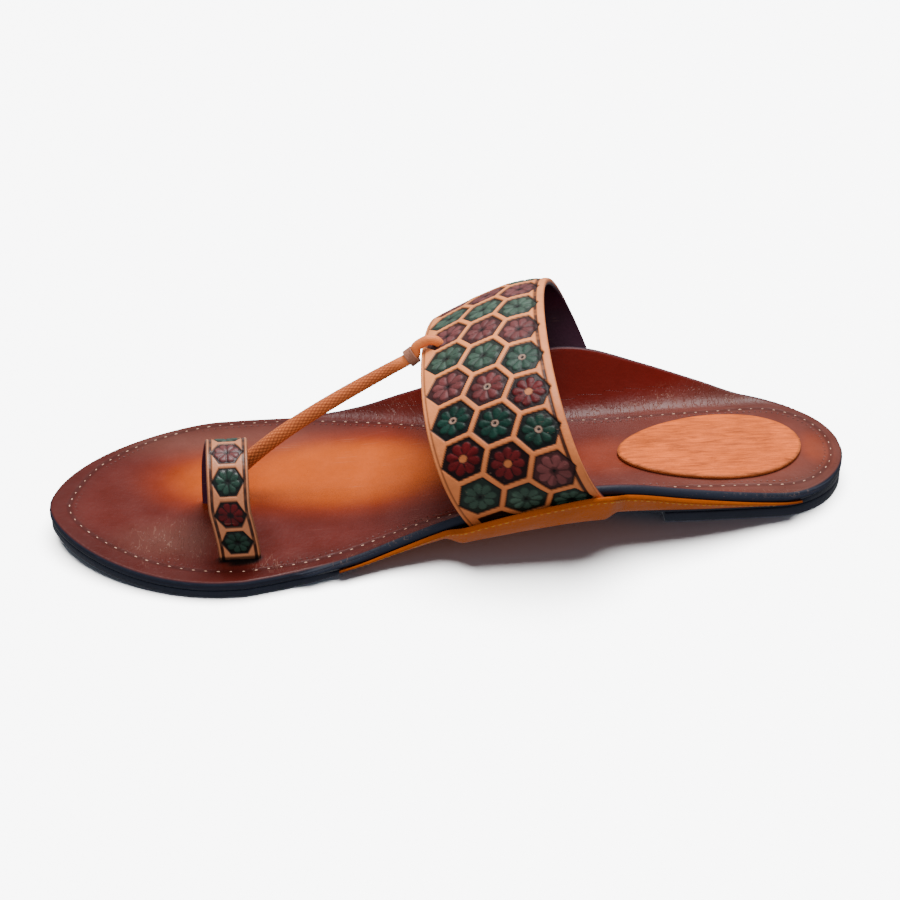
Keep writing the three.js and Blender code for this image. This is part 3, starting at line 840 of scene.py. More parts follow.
@dataclass
class Insole(Piece):
    """Top layer of the sole: burnished footbed whose waist edges turn up into two ears."""

    last: Last
    seam: Seam
    ring: "Ring"
    rows: int = 330
    flat: int = 58
    radius: float = 1.1
    finish: Finish = Finish(
        "insole", Dye.BURGUNDY, Grain.POLISHED, roughness=0.33, mottle=0.2, mottle_size=18.0, scratches=0.1,
        specular=0.14, toned=True, seamed=True,
    )
    # Places on the footbed: x, y, half length, half width, how strong
    burnishes: Table = (
        (168.0, -13.0, 58.0, 29.0, 1.0), (200.0, -13.0, 40.0, 25.0, 0.8), (80.0, -8.0, 26.0, 16.0, 0.38),
        (9.0, -7.0, 9.0, 15.0, 0.45), (36.0, -7.0, 52.0, 26.0, 0.24),
    )
    # Darker places: painted shade round the ring's near foot and under the ring, and darker patches on the
    # medial side of the toe and of the forefoot
    darkened: Table = (
        (201.5, 39.5, 12.0, 5.0, 0.9), (196.0, 24.0, 10.0, 16.0, 0.4), (236.0, 24.0, 26.0, 14.0, 0.35),
        (150.0, 36.0, 40.0, 9.0, 0.4),
    )
    # Paler places: dust on the heel, a paler patch on the lateral rim at the toe, and a painted sheen in
    # front of the ring's near foot
    dust_and_sheen: Table = (
        (34.0, 0.0, 62.0, 60.0, 0.07), (205.0, -36.0, 50.0, 14.0, 0.09), (222.0, 20.0, 22.0, 14.0, 0.07),
    )
    creased: Table = (
        (222.0, 22.0, 20.0, 18.0, 1.0), (190.0, 36.0, 14.0, 7.0, 0.8), (208.0, 0.0, 12.0, 12.0, 0.4),
    )
    # Painted shadow at the front of the near slot: half length, and reach in front of the strap
    slot: tuple[float, float] = (7.2, 3.0)

    @staticmethod
    def spots(points: Array, table: Table, soft: float) -> Array:
        """How strong each oval place of a table is at each point.

        Args:
            points: Points of the footbed.
            table: Rows of x, y, half length, half width and strength.
            soft: Where a place starts to fade, as a share of its half length and width.

        Returns:
            Strengths, places x the points' own shape.
        """
        x, y = points[..., 0], points[..., 1]
        return np.array([
            strength * (1 - smooth(np.hypot((x - cx) / half_x, (y - cy) / half_y), soft, 1.15))
            for cx, cy, half_x, half_y, strength in table
        ])

    def slot_shadow(self, points: Array) -> Array:
        """How far each point lies in the painted shadow at the front of the near slot, 0 to 1."""
        foot = self.ring.foot(0)
        half, reach = self.slot
        along, over = points[..., 0] - foot[0], points[..., 1] - foot[1] - self.ring.wall / 2
        return 1 - smooth(np.hypot(along / half, over / reach), 0.85, 1.1)

    def tones(self, points: Array, rim: Array, lift: Array) -> tuple[Array, Array]:
        """Colour and dullness of the upper face.

        Args:
            points: Points of the face.
            rim: Distance in from the edge.
            lift: How far up the ear, 0 on the flat to 1 on the slope.

        Returns:
            Linear colours and added roughness.
        """
        warm = self.spots(points, self.burnishes, 0.25).max(0)
        darkened_and_shaded = self.spots(points, self.darkened, 0.2).max(0)
        tone = layered(
            Dye.BURGUNDY.linear,
            (Dye.BURNISH_DEEP.linear, smooth(warm, 0.02, 0.55)),
            (Dye.BURNISH.linear, smooth(warm, 0.35, 0.95)),
            (Dye.BURGUNDY_DARK.linear, 0.45 * (1 - smooth(rim, 2.0, 13.0)) * (1 - lift)),
            (Dye.EAR_RED.linear, 0.85 * lift),
            # Painted shade by the ring, and darker patches elsewhere
            (Dye.BURGUNDY_DARK.linear, darkened_and_shaded),
            # Dust, and a painted sheen in front of the ring
            (Dye.THREAD.linear, self.spots(points, self.dust_and_sheen, 0.1).max(0) * (1 - lift)),
            # Painted shadow in the near slot
            (Dye.GROUND.linear, self.slot_shadow(points)),
            (Dye.NAVY.linear, 1 - smooth(rim, 0.2, 0.75)),
        )
        return tone, 0.3 * (1 - smooth(rim, 0.3, 1.2)) - 0.06 * lift - 0.08 * darkened_and_shaded

    def unrolled(self, top: Array, bend: int) -> Array:
        """Plan of the upper face with the ears unrolled, so that distances run over the leather.

        Args:
            top: Rows of points across the face.
            bend: Points on each ear.

        Returns:
            x and y of each point.
        """
        y = top[..., 1].copy()
        steps = np.linalg.norm(np.diff(top, axis=1), axis=2)
        y[:, -bend + 1:] = y[:, -bend, None] + np.cumsum(steps[:, -bend + 1:], 1)
        y[:, :bend - 1] = y[:, bend - 1, None] - np.cumsum(steps[:, :bend - 1][:, ::-1], 1)[:, ::-1]
        return np.stack([top[..., 0], y], -1)

    def build(self) -> bpy.types.Object:
        """Make the insole.

        Returns:
            The object.
        """
        last = self.last
        x = crowded(TIP, last.length - TIP, self.rows, 0.8)
        fine = np.array([0, 0.03, 0.08, 0.15, 0.24, 0.35])
        shares = np.unique(np.concatenate([np.linspace(0, 0.86, 17), 1 - fine[::-1] * 0.34]))
        top, bottom = (last.section(x, shares, self.flat, depth) for depth in (0.0, last.insole))
        kept = thinned(top.shape[1], 6, 3)
        plan = self.unrolled(top, len(shares))
        outline = np.concatenate([plan[:, -1], plan[::-1, 0], plan[:1, -1]])
        at = np.linspace(0, length_along(outline)[-1], 8 * len(x), endpoint=False)
        rim = distances(plan, resampled(outline, at))
        rim[:, 0] = rim[:, -1] = 0
        away, run = (values.reshape(rim.shape) for values in self.seam.measure(plan.reshape(-1, 2)))
        slope = np.concatenate([shares[::-1], np.zeros(self.flat), shares])
        bent = slope * last.rise(x / last.length)[:, None]
        tone, dull = self.tones(top, rim, smooth(bent, 0.12, 0.45))
        # Creases at the ears' bend and at the listed places; the material paints their lines pale as a
        # highlight
        folded = 0.9 * between(bent, 0.01, 0.06, 0.2, 0.45)
        crease = np.maximum(self.spots(top, self.creased, 0.1).max(0), folded)
        inward = unit(bottom - top) * rounding(rim, self.radius)[..., None]
        rings = np.concatenate([top + inward, (bottom - inward)[:, kept]], 1)
        hidden = (len(x), len(kept))

        def spread(values: Array, rest: float) -> Array:
            return np.concatenate([values, np.full(hidden, rest)], 1)

        tones = np.concatenate([tone, np.broadcast_to(Dye.NAVY.linear, (*hidden, 3))], 1)
        return shell(
            "insole_leather", rings, tones, seam=spread(away, 9.0), run=spread(run, 0.0),
            dull=spread(dull, 0.1), crease=spread(crease, 0.0),
        )


# Wrap, straps and cord


@dataclass
class Wrap(Piece):
    """Tan strap that runs under the waist and up outside both ears."""

    last: Last
    band: "Band"
    drop: float = 0.2
    cover_medial: float = 4.5
    cover_lateral: float = -1.5
    pocket_ease: float = 0.2
    pocket_runout: float = 8.0
    pocket_fade: float = 8.0
    rows: int = 240
    flat: int = 14
    radius: float = 0.3
    finish: Finish = Finish(
        "waist_wrap", Dye.SADDLE, Grain.FINE, roughness=0.45, mottle=0.16, streaks=0.1, specular=0.02,
        toned=True,
    )

    def over_band(self, x: Array, side: Side) -> Array:
        """How far the wrap stands over one of the band's ends, 0 to 1."""
        rear, runout = self.band.rear(side), self.pocket_runout
        front = rear + self.band.width
        return between(x, rear - runout, rear - 1, front + 1, front + runout)

    def pocket(self, x: Array, side: Side, u: Array) -> Array:
        """Room that the wrap leaves for the band's tucked ends."""
        from_top = (1 - u) * self.last.ear_length(x)
        tucked = self.band.tuck + 1
        below = 1 - smooth(from_top, tucked, tucked + self.pocket_fade)
        room = self.band.wall + self.last.gap + self.pocket_ease
        return room * self.over_band(x, side) * below * smooth(u, 0.05, 0.35)

    def face(self, x: Array, side: Side, u: Array, depth: Array | float = 0.0) -> Array:
        """Point in the wrap, at a depth outwards from its inner face."""
        last = self.last
        return last.ear_point(x, side, u, last.insole + last.gap + self.pocket(x, side, u) + depth)

    def top(self, x: Array, side: Side) -> Array:
        """Value of u at the wrap's upper edge, drawn up or down where it covers the band's end."""
        cover = self.cover_medial if side is Side.MEDIAL else self.cover_lateral
        above = cover * self.over_band(x, side) - self.drop * self.last.rise(x / self.last.length)
        return 1 + above / self.last.ear_length(x)

    def build(self) -> bpy.types.Object:
        """Make the wrap.

        Returns:
            The object.
        """
        last = self.last
        x = crowded(last.wrap_back, last.wrap_front, self.rows, 0.3)[:, None]
        base = np.concatenate([np.linspace(0, 0.96, 24), [0.975, 0.988, 0.996, 1.0]])[None]
        wall = last.wrap_wall(x)
        tops = [self.top(x, side) for side in Side]
        slopes = [base * top for top in tops]
        rims = [(top - slope) * last.ear_length(x) for top, slope in zip(tops, slopes)]
        falls = [rounding(rim, np.minimum(self.radius, 0.35 * wall)) for rim in rims]

        def side_by_side(medial: Array, lateral: Array) -> Array:
            return across_foot(lateral, medial, self.flat)

        def both_faces(medial: Array, lateral: Array, middle: float) -> Array:
            between_them = np.full((len(x), self.flat), middle)
            face = np.concatenate([lateral[:, ::-1], between_them, medial], 1)
            return np.concatenate([face, face[:, ::-1]], 1)

        inner, outer = (
            side_by_side(*(self.face(x, *part) for part in zip(Side, slopes, depths)))
            for depths in (falls, [wall - fall for fall in falls])
        )
        rings = np.concatenate([outer, inner[:, ::-1]], 1)
        slope, rim = both_faces(*slopes, 0.0), both_faces(*rims, 20.0)
        ends = np.maximum(1 - smooth(x, 20, 30), smooth(x, 165, 171))
        teeth = 0.1 + 0.1 * np.sin(x * 2 * np.pi / 1.3)
        tone = layered(
            Dye.SADDLE.linear,
            (Dye.SADDLE_DEEP.linear, 0.6 * (1 - smooth(slope, 0.0, 0.4))),
            (Dye.BURGUNDY_DARK.linear, 0.5 * ends),
            (Dye.UMBER.linear, 0.45 * (1 - smooth((rim - teeth) / 0.25, 0, 1))),
        )
        return shell("waist_wrap_leather", rings, tone, dull=0.0 * slope)


@dataclass(frozen=True)
class Tooling:
    """Honeycomb of painted flowers, cut into a strap's face.

    The cells stand in columns along the strap, their flat sides facing along it, and each column is
    half a cell ahead of the next.
    """

    pitch: float
    spacing: float
    first: float
    column: float
    columns: int
    rows: tuple[int, int]
    # How faded and rubbed the paint is, for each row and each column in it
    fades: Table
    frame: float = 1.75
    depth: float = 0.45
    reach: float = 0.88
    centred: bool = True
    petals: int = 8

    @staticmethod
    def hexagonal(dx: Array, dy: Array) -> Array:
        """How far a place lies from a cell's middle, towards its nearest side."""
        return np.maximum(np.abs(dx), np.abs(dx) / 2 + np.abs(dy) * HEX)

    def cells(self, along: Array, over: Array) -> tuple[Array, Array, Array, Array]:
        """The nearest cell to each place on the strap.

        Args:
            along: Distance along the strap.
            over: Distance across it from its rear edge.

        Returns:
            Place in the cell along and across, the cell's row, and its column.
        """
        best = np.full(along.shape, np.inf)
        found = np.zeros((4, *along.shape))
        for k in range(self.columns):
            dy = over - (self.column - k * self.spacing)
            if self.columns > 1:
                dy = dy * self.pitch * HEX / self.spacing
            row = np.clip(np.round((along - self.first) / self.pitch + k / 2), *self.rows)
            dx = along - (self.first + self.pitch * (row - k / 2))
            reach = self.hexagonal(dx, dy)
            nearer = reach < best
            best = np.where(nearer, reach, best)
            found = np.where(nearer, np.stack([dx, dy, row, np.full(along.shape, float(k))]), found)
        return tuple(found)

    def paint(self, along: Array, over: Array, leather: Array) -> Painted:
        """Paint and cut the strap's face.

        Args:
            along: Distance along the strap.
            over: Distance across it.
            leather: Linear colour of the plain leather at each place.

        Returns:
            Linear colours, heights in millimetres, and added roughness.
        """
        dx, dy, row, col = self.cells(along, over)
        wobble = hashed(row, col)
        half = (self.pitch - self.frame) / 2
        inside = half - self.hexagonal(dx, dy)
        cell = smooth(inside, -0.15, 0.2)
        outline = between(inside, -0.25, 0.05, 0.3, 0.65)
        # The petals: outlined by a wave round the middle, split by gaps, and domed
        radius, angle = np.hypot(dx, dy), np.arctan2(dy, dx) + 0.35 * (wobble - 0.5) + np.pi / self.petals
        near = radius / half
        wave = np.abs(np.cos(angle * self.petals / 2))
        gap = wave * radius * 0.72
        tip = half * (self.reach + 0.06 * wobble) * (0.62 + 0.34 * wave**0.55)
        petal = smooth(tip - radius, 0.0, 0.45) * smooth(near, 0.17, 0.3) * smooth(gap, 0.2, 0.5)
        dome = petal * np.clip(gap / (0.34 * half), 0.25, 1.0)
        # The paint: green and maroon rows by turns, each petal a little different, and rubbed
        green = np.mod(row, 2) == 0
        fade = np.array(self.fades)[np.clip(row, 0, len(self.fades) - 1).astype(int), col.astype(int)]
        rich = np.where(green[..., None], Dye.GREEN.linear, Dye.MAROON.linear)
        rubbed = np.where(green[..., None], Dye.GREEN_LIGHT.linear, Dye.MAROON_LIGHT.linear)
        petal_number = np.floor(angle * self.petals / (2 * np.pi))
        paint = blend(rich, rubbed, fade) * (0.75 + 0.5 * hashed(row, col, petal_number))[..., None]
        # The middle: a disc on fresh maroon flowers, a pale ring on the others, and an eye
        disc = (1 - smooth(near, 0.17, 0.22)) * ((fade < 0.3) & ~green) * self.centred
        ring = between(near, 0.07, 0.1, 0.16, 0.21) * (fade < 0.6) * (disc < 0.5) * self.centred
        eye = (1 - smooth(near, 0.07, 0.12)) * (disc < 0.5)
        # Darker below the first row of cells
        below = 1 - smooth(along, self.first - 0.42 * self.pitch, self.first - 0.36 * self.pitch)
        low = self.column - 2.2 * self.spacing * (self.columns > 1)
        dark_below_cells = smooth(-inside, 0.9 * self.frame, 1.1 * self.frame) * below
        dark_below_cells = dark_below_cells * (over > low) * (over < self.column + 0.3 * self.pitch)
        tone = layered(
            leather,
            (blend(Dye.GROUND.linear, paint, 0.06 + 0.3 * fade), cell),
            (paint, petal),
            (Dye.GROUND.linear * 1.3, 0.85 * outline),
            (leather * 0.7, disc),
            (Dye.THREAD.linear * 0.6, 0.85 * ring),
            (Dye.GROUND.linear, eye),
            (Dye.UMBER.linear * 0.6, dark_below_cells),
        )
        height = -self.depth * cell * (1 - 0.82 * dome) - 0.12 * outline - 0.15 * eye + 0.12 * ring
        return Painted(tone, np.minimum(height, 0.0), 0.12 * outline + 0.03 * cell)


@dataclass
class Band(Piece):
    """Wide tooled strap over the instep, its ends tucked between ears and wrap."""

    last: Last
    width: float = 41.5
    wall: float = 2.4
    tuck: float = 9.0
    rear_medial: float = 88.0
    rear_lateral: float = 79.3
    step: float = 0.36
    radius: float = 0.75
    # How the pattern slants across the strap, and how far it is let out near the medial end
    shear: float = 0.2
    eased: float = 2.7
    # Rear and front edges: angle from upright, pulls and leans of the arch on the two sides
    edges: Table = ((42, 0.717, 0.72, 0.385, 0.308), (28, 0.575, 0.535, 0.50, 0.28))
    tooling: Tooling = Tooling(
        pitch=14.4, spacing=12.0, first=17.0, column=33.0, columns=3, rows=(0, 12), fades=(
            (0.75, 0.8, 0.65), (0.0, 0.08, 0.85), (0.0, 0.0, 0.1), (0.75, 0.5, 0.1), (0.85, 0.75, 0.45),
            (0.95, 0.9, 0.85), (1.0, 1.0, 1.0),
        ),
    )
    finish: Finish = Finish(
        "instep_band", Dye.NATURAL, Grain.FINE, roughness=0.48, mottle=0.24, mottle_size=7.0, scratches=0.15,
        specular=0.14, toned=True,
    )

    def rear(self, side: Side) -> float:
        """How far from the heel the rear edge goes down between ear and wrap."""
        return self.rear_medial if side is Side.MEDIAL else self.rear_lateral

    def end(self, side: Side, t: Array, tuck: Array | float) -> Array:
        """Point on the tucked end, tuck millimetres under the ear's edge."""
        x = self.rear(side) + self.width * np.asarray(t, float)
        u = 1 - tuck / self.last.ear_length(x)
        return self.last.ear_point(x, side, u, self.last.insole + self.last.gap + self.wall / 2)

    def arch(self, s: Array, t: Array) -> Array:
        """Middle surface: s from 0 (medial) to 1 over the arch, t from the rear edge to the front."""
        s, t = np.broadcast_arrays(np.asarray(s, float), np.asarray(t, float))
        flare, *pulls_and_leans = (rear + (front - rear) * t for rear, front in zip(*self.edges))
        flare = np.radians(flare)
        s = s[..., None]
        ends, handles = [], []
        for side, pull, lean in zip(Side, pulls_and_leans[:2], pulls_and_leans[2:]):
            way = np.stack([lean, side.value * np.sin(flare), np.cos(flare)], -1)
            ends.append(self.end(side, t, 0))
            handles.append(ends[-1] + way * (self.last.ball_width * pull)[..., None])
        inner = 3 * (1 - s) ** 2 * s * handles[0] + 3 * (1 - s) * s * s * handles[1]
        return (1 - s) ** 3 * ends[0] + inner + s**3 * ends[1]

    def frame(self, s: float, t: float) -> tuple[Array, Array, Array]:
        """Point on the middle surface, direction to the front edge, and outward direction."""
        step = 0.01
        forward = unit(self.arch(s, t + step) - self.arch(s, t - step))
        out = unit(np.cross(forward, self.arch(s + step, t) - self.arch(s - step, t)))
        return self.arch(s, t), forward, out if out[2] > 0 else -out

    def grid(self) -> tuple[Array, Array, Array]:
        """Middle surface of the whole strap, the distance along and the distance across."""
        t = edged(self.width, self.step)
        even = np.linspace(0, 1, 400)
        mid = length_along(self.arch(even, 0.5))
        at = np.linspace(0, mid[-1], round(mid[-1] / self.step) + 1)
        s = np.interp(at, mid, even)
        tucks = np.linspace(self.tuck, 0, 12)[:-1]
        rows = [self.end(Side.MEDIAL, t, tuck) for tuck in tucks]
        rows += list(self.arch(s[:, None], t[None]))
        rows += [self.end(Side.LATERAL, t, tuck) for tuck in tucks[::-1]]
        over = t * self.width
        along = np.concatenate([-tucks, at, mid[-1] + tucks[::-1]])[:, None]
        along = along + self.shear * (over - self.width / 2)
        along = along + self.eased * smooth(along, 15, 48)
        return np.array(rows), along, np.broadcast_to(over, along.shape)

    def plain(self, along: Array, over: Array) -> Array:
        """Colour of the leather between the flowers, with the painted lines at both edges."""
        front = self.width - over
        rear_line = between(over, 2.4, 2.7, 3.6, 4.1)
        front_line = between(front, 0.9, 1.1, 1.3, 1.6)
        rubbed = smooth(np.sin(along * 0.9) + np.sin(along * 2.3 + 1) * 0.6, -0.9, 0.2)
        kept = np.maximum(0.8 + 0.2 * rubbed, 1 - smooth(along, 40, 60))
        return layered(
            Dye.NATURAL.linear,
            (Dye.NATURAL_DEEP.linear, 0.75 * (1 - smooth(along, 30, 75)) + 0.05),
            (Dye.UMBER.linear, np.clip(0.95 * rear_line * kept + 0.75 * front_line, 0, 1)),
            (Dye.NATURAL_DEEP.linear * 0.8, 0.5 * (1 - smooth(np.minimum(over, front), 0.2, 0.7))),
        )

    def build(self) -> bpy.types.Object:
        """Make the band.

        Returns:
            The object.
        """
        middle, along, over = self.grid()
        out = unit(np.cross(np.gradient(middle, axis=1), np.gradient(middle, axis=0)))
        away = middle - np.array([middle[..., 0].mean(), 0, 0])
        out *= -1 if (out * away).sum(-1).mean() < 0 else 1
        face = self.tooling.paint(along, over, self.plain(along, over))
        # The lines are pressed in a little wider than they are painted
        rear, front = between(over, 2.3, 2.8, 3.5, 4.1), between(self.width - over, 0.8, 1.1, 1.3, 1.7)
        face = replace(face, height=face.height - 0.3 * rear - 0.2 * front)
        lining = Dye.LINING.linear
        return strap("instep_band_leather", middle, out, self.wall, self.radius, face, lining, -0.05)


@dataclass
class Ring(Piece):
    """Strap for the big toe, tooled with one column of flowers."""

    last: Last
    width: float = 13.0
    wall: float = 2.0
    span: float = 33.9
    leg: float = 14.2
    back_from_toe: float = 60.4
    inset: float = 12.3
    skew: float = 5.3
    step: float = 0.2
    radius: float = 0.6
    tooling: Tooling = Tooling(
        pitch=10.25, spacing=10.25, first=6.2, column=6.5, columns=1, rows=(0, 8), frame=1.5, depth=0.35,
        reach=0.95, centred=False, fades=((0.3,), (0.0,), (0.25,), (0.7,), (0.8,), (1.0,)),
    )
    finish: Finish = Finish(
        "toe_ring", Dye.NATURAL, Grain.FINE, roughness=0.45, mottle=0.16, mottle_size=6.0, scratches=0.3,
        coat=0.1, toned=True,
    )

    def __post_init__(self) -> None:
        self.x = self.last.length - self.back_from_toe
        self.near_y = float(self.last.edge(self.x, Side.MEDIAL)) - self.inset - self.wall / 2
        self.arc = (self.span - self.wall) / 2

    def foot(self, end: int) -> Array:
        """Where one end meets the footbed: 0 for the near end, 1 for the far end."""
        x = self.x + self.skew * end
        return np.array([x, self.near_y - 2 * self.arc * end, float(self.last.footbed(x))])

    def line(self) -> Array:
        """Centre line of the strap from the near slot over to the far slot, evenly spaced."""
        near, far = self.foot(0), self.foot(1)

        def leg(foot: Array) -> Array:
            under = float(self.last.insole_under(foot[0]))
            heights = (under, foot[2] + 1, foot[2] + self.leg / 3, foot[2] + 2 * self.leg / 3)
            return np.array([[foot[0], foot[1], z] for z in heights])

        angle = np.linspace(0, np.pi, 19)
        arc = np.zeros((len(angle), 3))
        arc[:, 1] = (near[1] + far[1]) / 2 + self.arc * np.cos(angle)
        arc[:, 2] = near[2] + self.leg + self.arc * np.sin(angle)
        line = np.concatenate([leg(near), arc, leg(far)[::-1]])
        share = np.clip((np.arange(len(line)) - 1) / (len(line) - 3), 0, 1)
        line[:, 0] = near[0] + self.skew * (0.45 * smooth(share, 0, 0.2) + 0.55 * smooth(share, 0.55, 1))
        run = length_along(line)[-1]
        return resampled(line, np.linspace(0, run, round(run / (2 * self.step))))

    def build(self) -> bpy.types.Object:
        """Make the ring.

        Returns:
            The object.
        """
        line = self.line()
        along = (length_along(line) - self.last.insole)[:, None]
        for _ in range(6):
            line[1:-1] = (line[:-2] + 2 * line[1:-1] + line[2:]) / 4
        over = edged(self.width, self.step) * self.width
        middle = np.repeat(line[:, None], len(over), 1)
        middle[..., 0] += over - self.width / 2
        out = unit(np.cross(np.gradient(line, axis=0), np.array([1.0, 0, 0])))
        out *= -1 if ((line - line.mean(0)) * out).sum(1).mean() < 0 else 1
        along, over = np.broadcast_arrays(along, over)
        edge = np.minimum(over, self.width - over)
        lines = between(edge, 0.7, 0.9, 1.7, 2.0)
        kept = 0.85 + 0.15 * smooth(np.sin(along * 0.7) + np.sin(along * 1.3 + 2), -1.2, 0.6)
        dark = np.clip(0.97 * lines * kept + 0.6 * (1 - smooth(edge, 0.2, 0.7)), 0, 1)
        plain = layered(
            Dye.NATURAL.linear,
            (Dye.KEEPER.linear, 0.6),
            (Dye.UMBER.linear, dark),
            # Painted shade at the near end, where the ring goes down into its slot
            (Dye.GROUND.linear, 0.9 * (1 - smooth(along, 0.6, 1.6))),
        )
        face = self.tooling.paint(along, over, plain)
        face = replace(face, height=face.height - 0.22 * lines)
        lining = Dye.LINING.linear * 1.6
        return strap("toe_ring_leather", middle, out[:, None], self.wall, self.radius, face, lining)


@dataclass
class Cord:
    """Rolled, braided cord from the insole beside the ring to a loop round the band's edge."""

    last: Last
    band: Band
    ring: Ring
    wide: float = 5.3
    loop_wide: float = 3.4
    tail_wide: float = 2.8
    from_ring: float = 4.7
    rise: float = 20.0
    back: float = 13.0
    pull: float = 24.0
    bow: float = 3.4
    hole_from_edge: float = 6.0
    hole_along: float = 0.51
    keeper_cord: float = 4.0
    keeper_length: float = 3.0
    keeper_wall: float = 0.7
    keeper_off_edge: float = 3.7
    keeper_drop: float = 0.5
    keeper_slope: float = 36.0
    keeper_radius: float = 0.25
    keeper_sides: int = 64
    rows: int = 420
    sides: int = 72
    # The braid: strands each way round, length of one crossing, depth
    strands: int = 12
    plait: float = 2.0
    braid: float = 0.14
    # The loop over and under the band: shares of hole_from_edge forward of the hole, and upwards
    loop_above: Table = ((1.2, -0.1), (0.72, 0.7), (0.37, 0.5), (0.05, -0.9))
    loop_below: Table = ((-0.07, 3.1), (0.05, 0.9), (0.37, -0.4), (0.67, -0.7), (1, -0.7))
    finish: Finish = Finish(
        "toe_cord", Dye.CORD, Grain.SUEDED, roughness=0.5, mottle=0.2, mottle_size=7.0, toned=True
    )
    keeper_finish: Finish = Finish(
        "cord_keeper", Dye.KEEPER, Grain.SUEDED, roughness=0.6, mottle=0.25, mottle_size=3.0
    )

    def __post_init__(self) -> None:
        foot = self.ring.foot(1)
        self.foot = np.array([foot[0] - 0.8, foot[1] - self.ring.wall / 2 - self.from_ring, foot[2]])
        across = 1 - self.hole_from_edge / self.band.width
        self.hole, self.forward, self.out = self.band.frame(self.hole_along, across)
        to_foot = unit((self.foot - self.hole) * np.array([1, 1, 0]))
        slope = math.radians(self.keeper_slope)
        self.axis = to_foot * math.cos(slope) - UP * math.sin(slope)
        at_edge = self.on_band(self.hole_from_edge, 0)
        self.keeper = at_edge + to_foot * self.keeper_off_edge - UP * self.keeper_drop

    def on_band(self, forward: float, out: float) -> Array:
        """Point off the band's hole: towards the front edge and outwards."""
        return self.hole + self.forward * forward + self.out * out

    def path(self) -> tuple[Array, Array]:
        """Control points of the cord and its thickness at each."""
        half = self.keeper_length / 2
        a, b, c, d = (
            self.foot + np.array([-0.3, 0, 3]),
            self.foot + np.array([-self.back, 0, self.rise]),
            self.keeper + self.axis * self.pull + self.out * self.bow,
            self.keeper + self.axis * half,
        )
        t = np.linspace(0, 1, 17)[:, None]
        run = (1 - t) ** 3 * a + 3 * (1 - t) ** 2 * t * b + 3 * (1 - t) * t * t * c + t**3 * d
        points = [self.foot - UP * self.last.insole, self.foot, *run]
        points += [self.keeper, self.keeper - self.axis * half]
        tapered = self.wide + (self.keeper_cord - self.wide) * t[:, 0] ** 2
        wides = [self.wide, self.wide, *tapered, self.keeper_cord, self.loop_wide]
        loops = (self.loop_above, 1, self.loop_wide), (self.loop_below, -1, self.tail_wide)
        for loop, side, wide in loops:
            clear = side * (self.band.wall / 2 + self.last.gap + wide / 2)
            points += [self.on_band(forward * self.hole_from_edge, clear + up) for forward, up in loop]
            wides += [wide] * len(loop)
        return np.array(points), np.array(wides)

    def curve(self) -> tuple[Array, Array]:
        """Even points along the cord, and its radius at each."""
        points, wides = self.path()
        padded = np.concatenate([[2 * points[0] - points[1]], points, [2 * points[-1] - points[-2]]])
        t = np.linspace(0, 1, 40, endpoint=False)[:, None]
        line = []
        for i in range(len(points) - 1):
            p = padded[i:i + 4]
            g = np.maximum(np.linalg.norm(np.diff(p, axis=0), axis=1) ** 0.5, 1e-4)
            ahead = (p[2] - p[1]) / g[1]
            start = ((p[1] - p[0]) / g[0] - (p[2] - p[0]) / (g[0] + g[1]) + ahead) * g[1]
            end = (ahead - (p[3] - p[1]) / (g[1] + g[2]) + (p[3] - p[2]) / g[2]) * g[1]
            step = p[2] - p[1]
            squared, cubed = 3 * step - 2 * start - end, start + end - 2 * step
            line.append(p[1] + start * t + squared * t**2 + cubed * t**3)
        line = np.concatenate([*line, points[-1:]])
        width = np.interp(np.arange(len(line)) / 40, np.arange(len(wides)), wides)
        run = length_along(line)
        at = np.linspace(0, run[-1], self.rows)
        return resampled(line, at), np.interp(at, run, width) / 2

    def build(self) -> dict[str, bpy.types.Object]:
        """Make the cord and its keeper.

        Returns:
            The pieces by name.
        """
        line, radius = self.curve()
        ahead = unit(np.gradient(line, axis=0))
        side = np.zeros_like(line)
        side[0] = unit(np.cross(ahead[0], np.array([0, 1.0, 0])))
        for i in range(1, len(line)):
            side[i] = unit(side[i - 1] - ahead[i] * (side[i - 1] @ ahead[i]))
        run = length_along(line)[:, None]
        angle = np.linspace(0, 2 * np.pi, self.sides, endpoint=False)
        strands = (np.pi * run / self.plait + turn * self.strands / 2 * angle for turn in (1, -1))
        weave = np.prod([np.abs(np.sin(strand)) for strand in strands], axis=0)
        braided = between(run, 1, 6, run[-1, 0] - 30, run[-1, 0] - 24)
        radii = radius[:, None] - 0.05 - self.braid * (1 - weave**0.6) * braided
        spokes = self.spokes(angle, side[:, None], np.cross(ahead, side)[:, None])
        rings = line[:, None] + radii[..., None] * spokes
        tone = layered(
            Dye.CORD.linear,
            # Painted shade in the braid's grooves
            (Dye.CORD_DEEP.linear, braided * (1 - weave**0.7)),
            (Dye.CORD_DEEP.linear, 0.8 * (1 - smooth(run, 3, 12))),
        )
        cord = shell("toe_cord_leather", rings, tone, dull=0.0 * weave)
        return {"cord": cord, "keeper": self.sleeve()}

    @staticmethod
    def spokes(angle: Array, side: Array, other: Array) -> Array:
        """Directions round an axis at each angle from one side towards the other."""
        return np.cos(angle)[..., None] * side + np.sin(angle)[..., None] * other

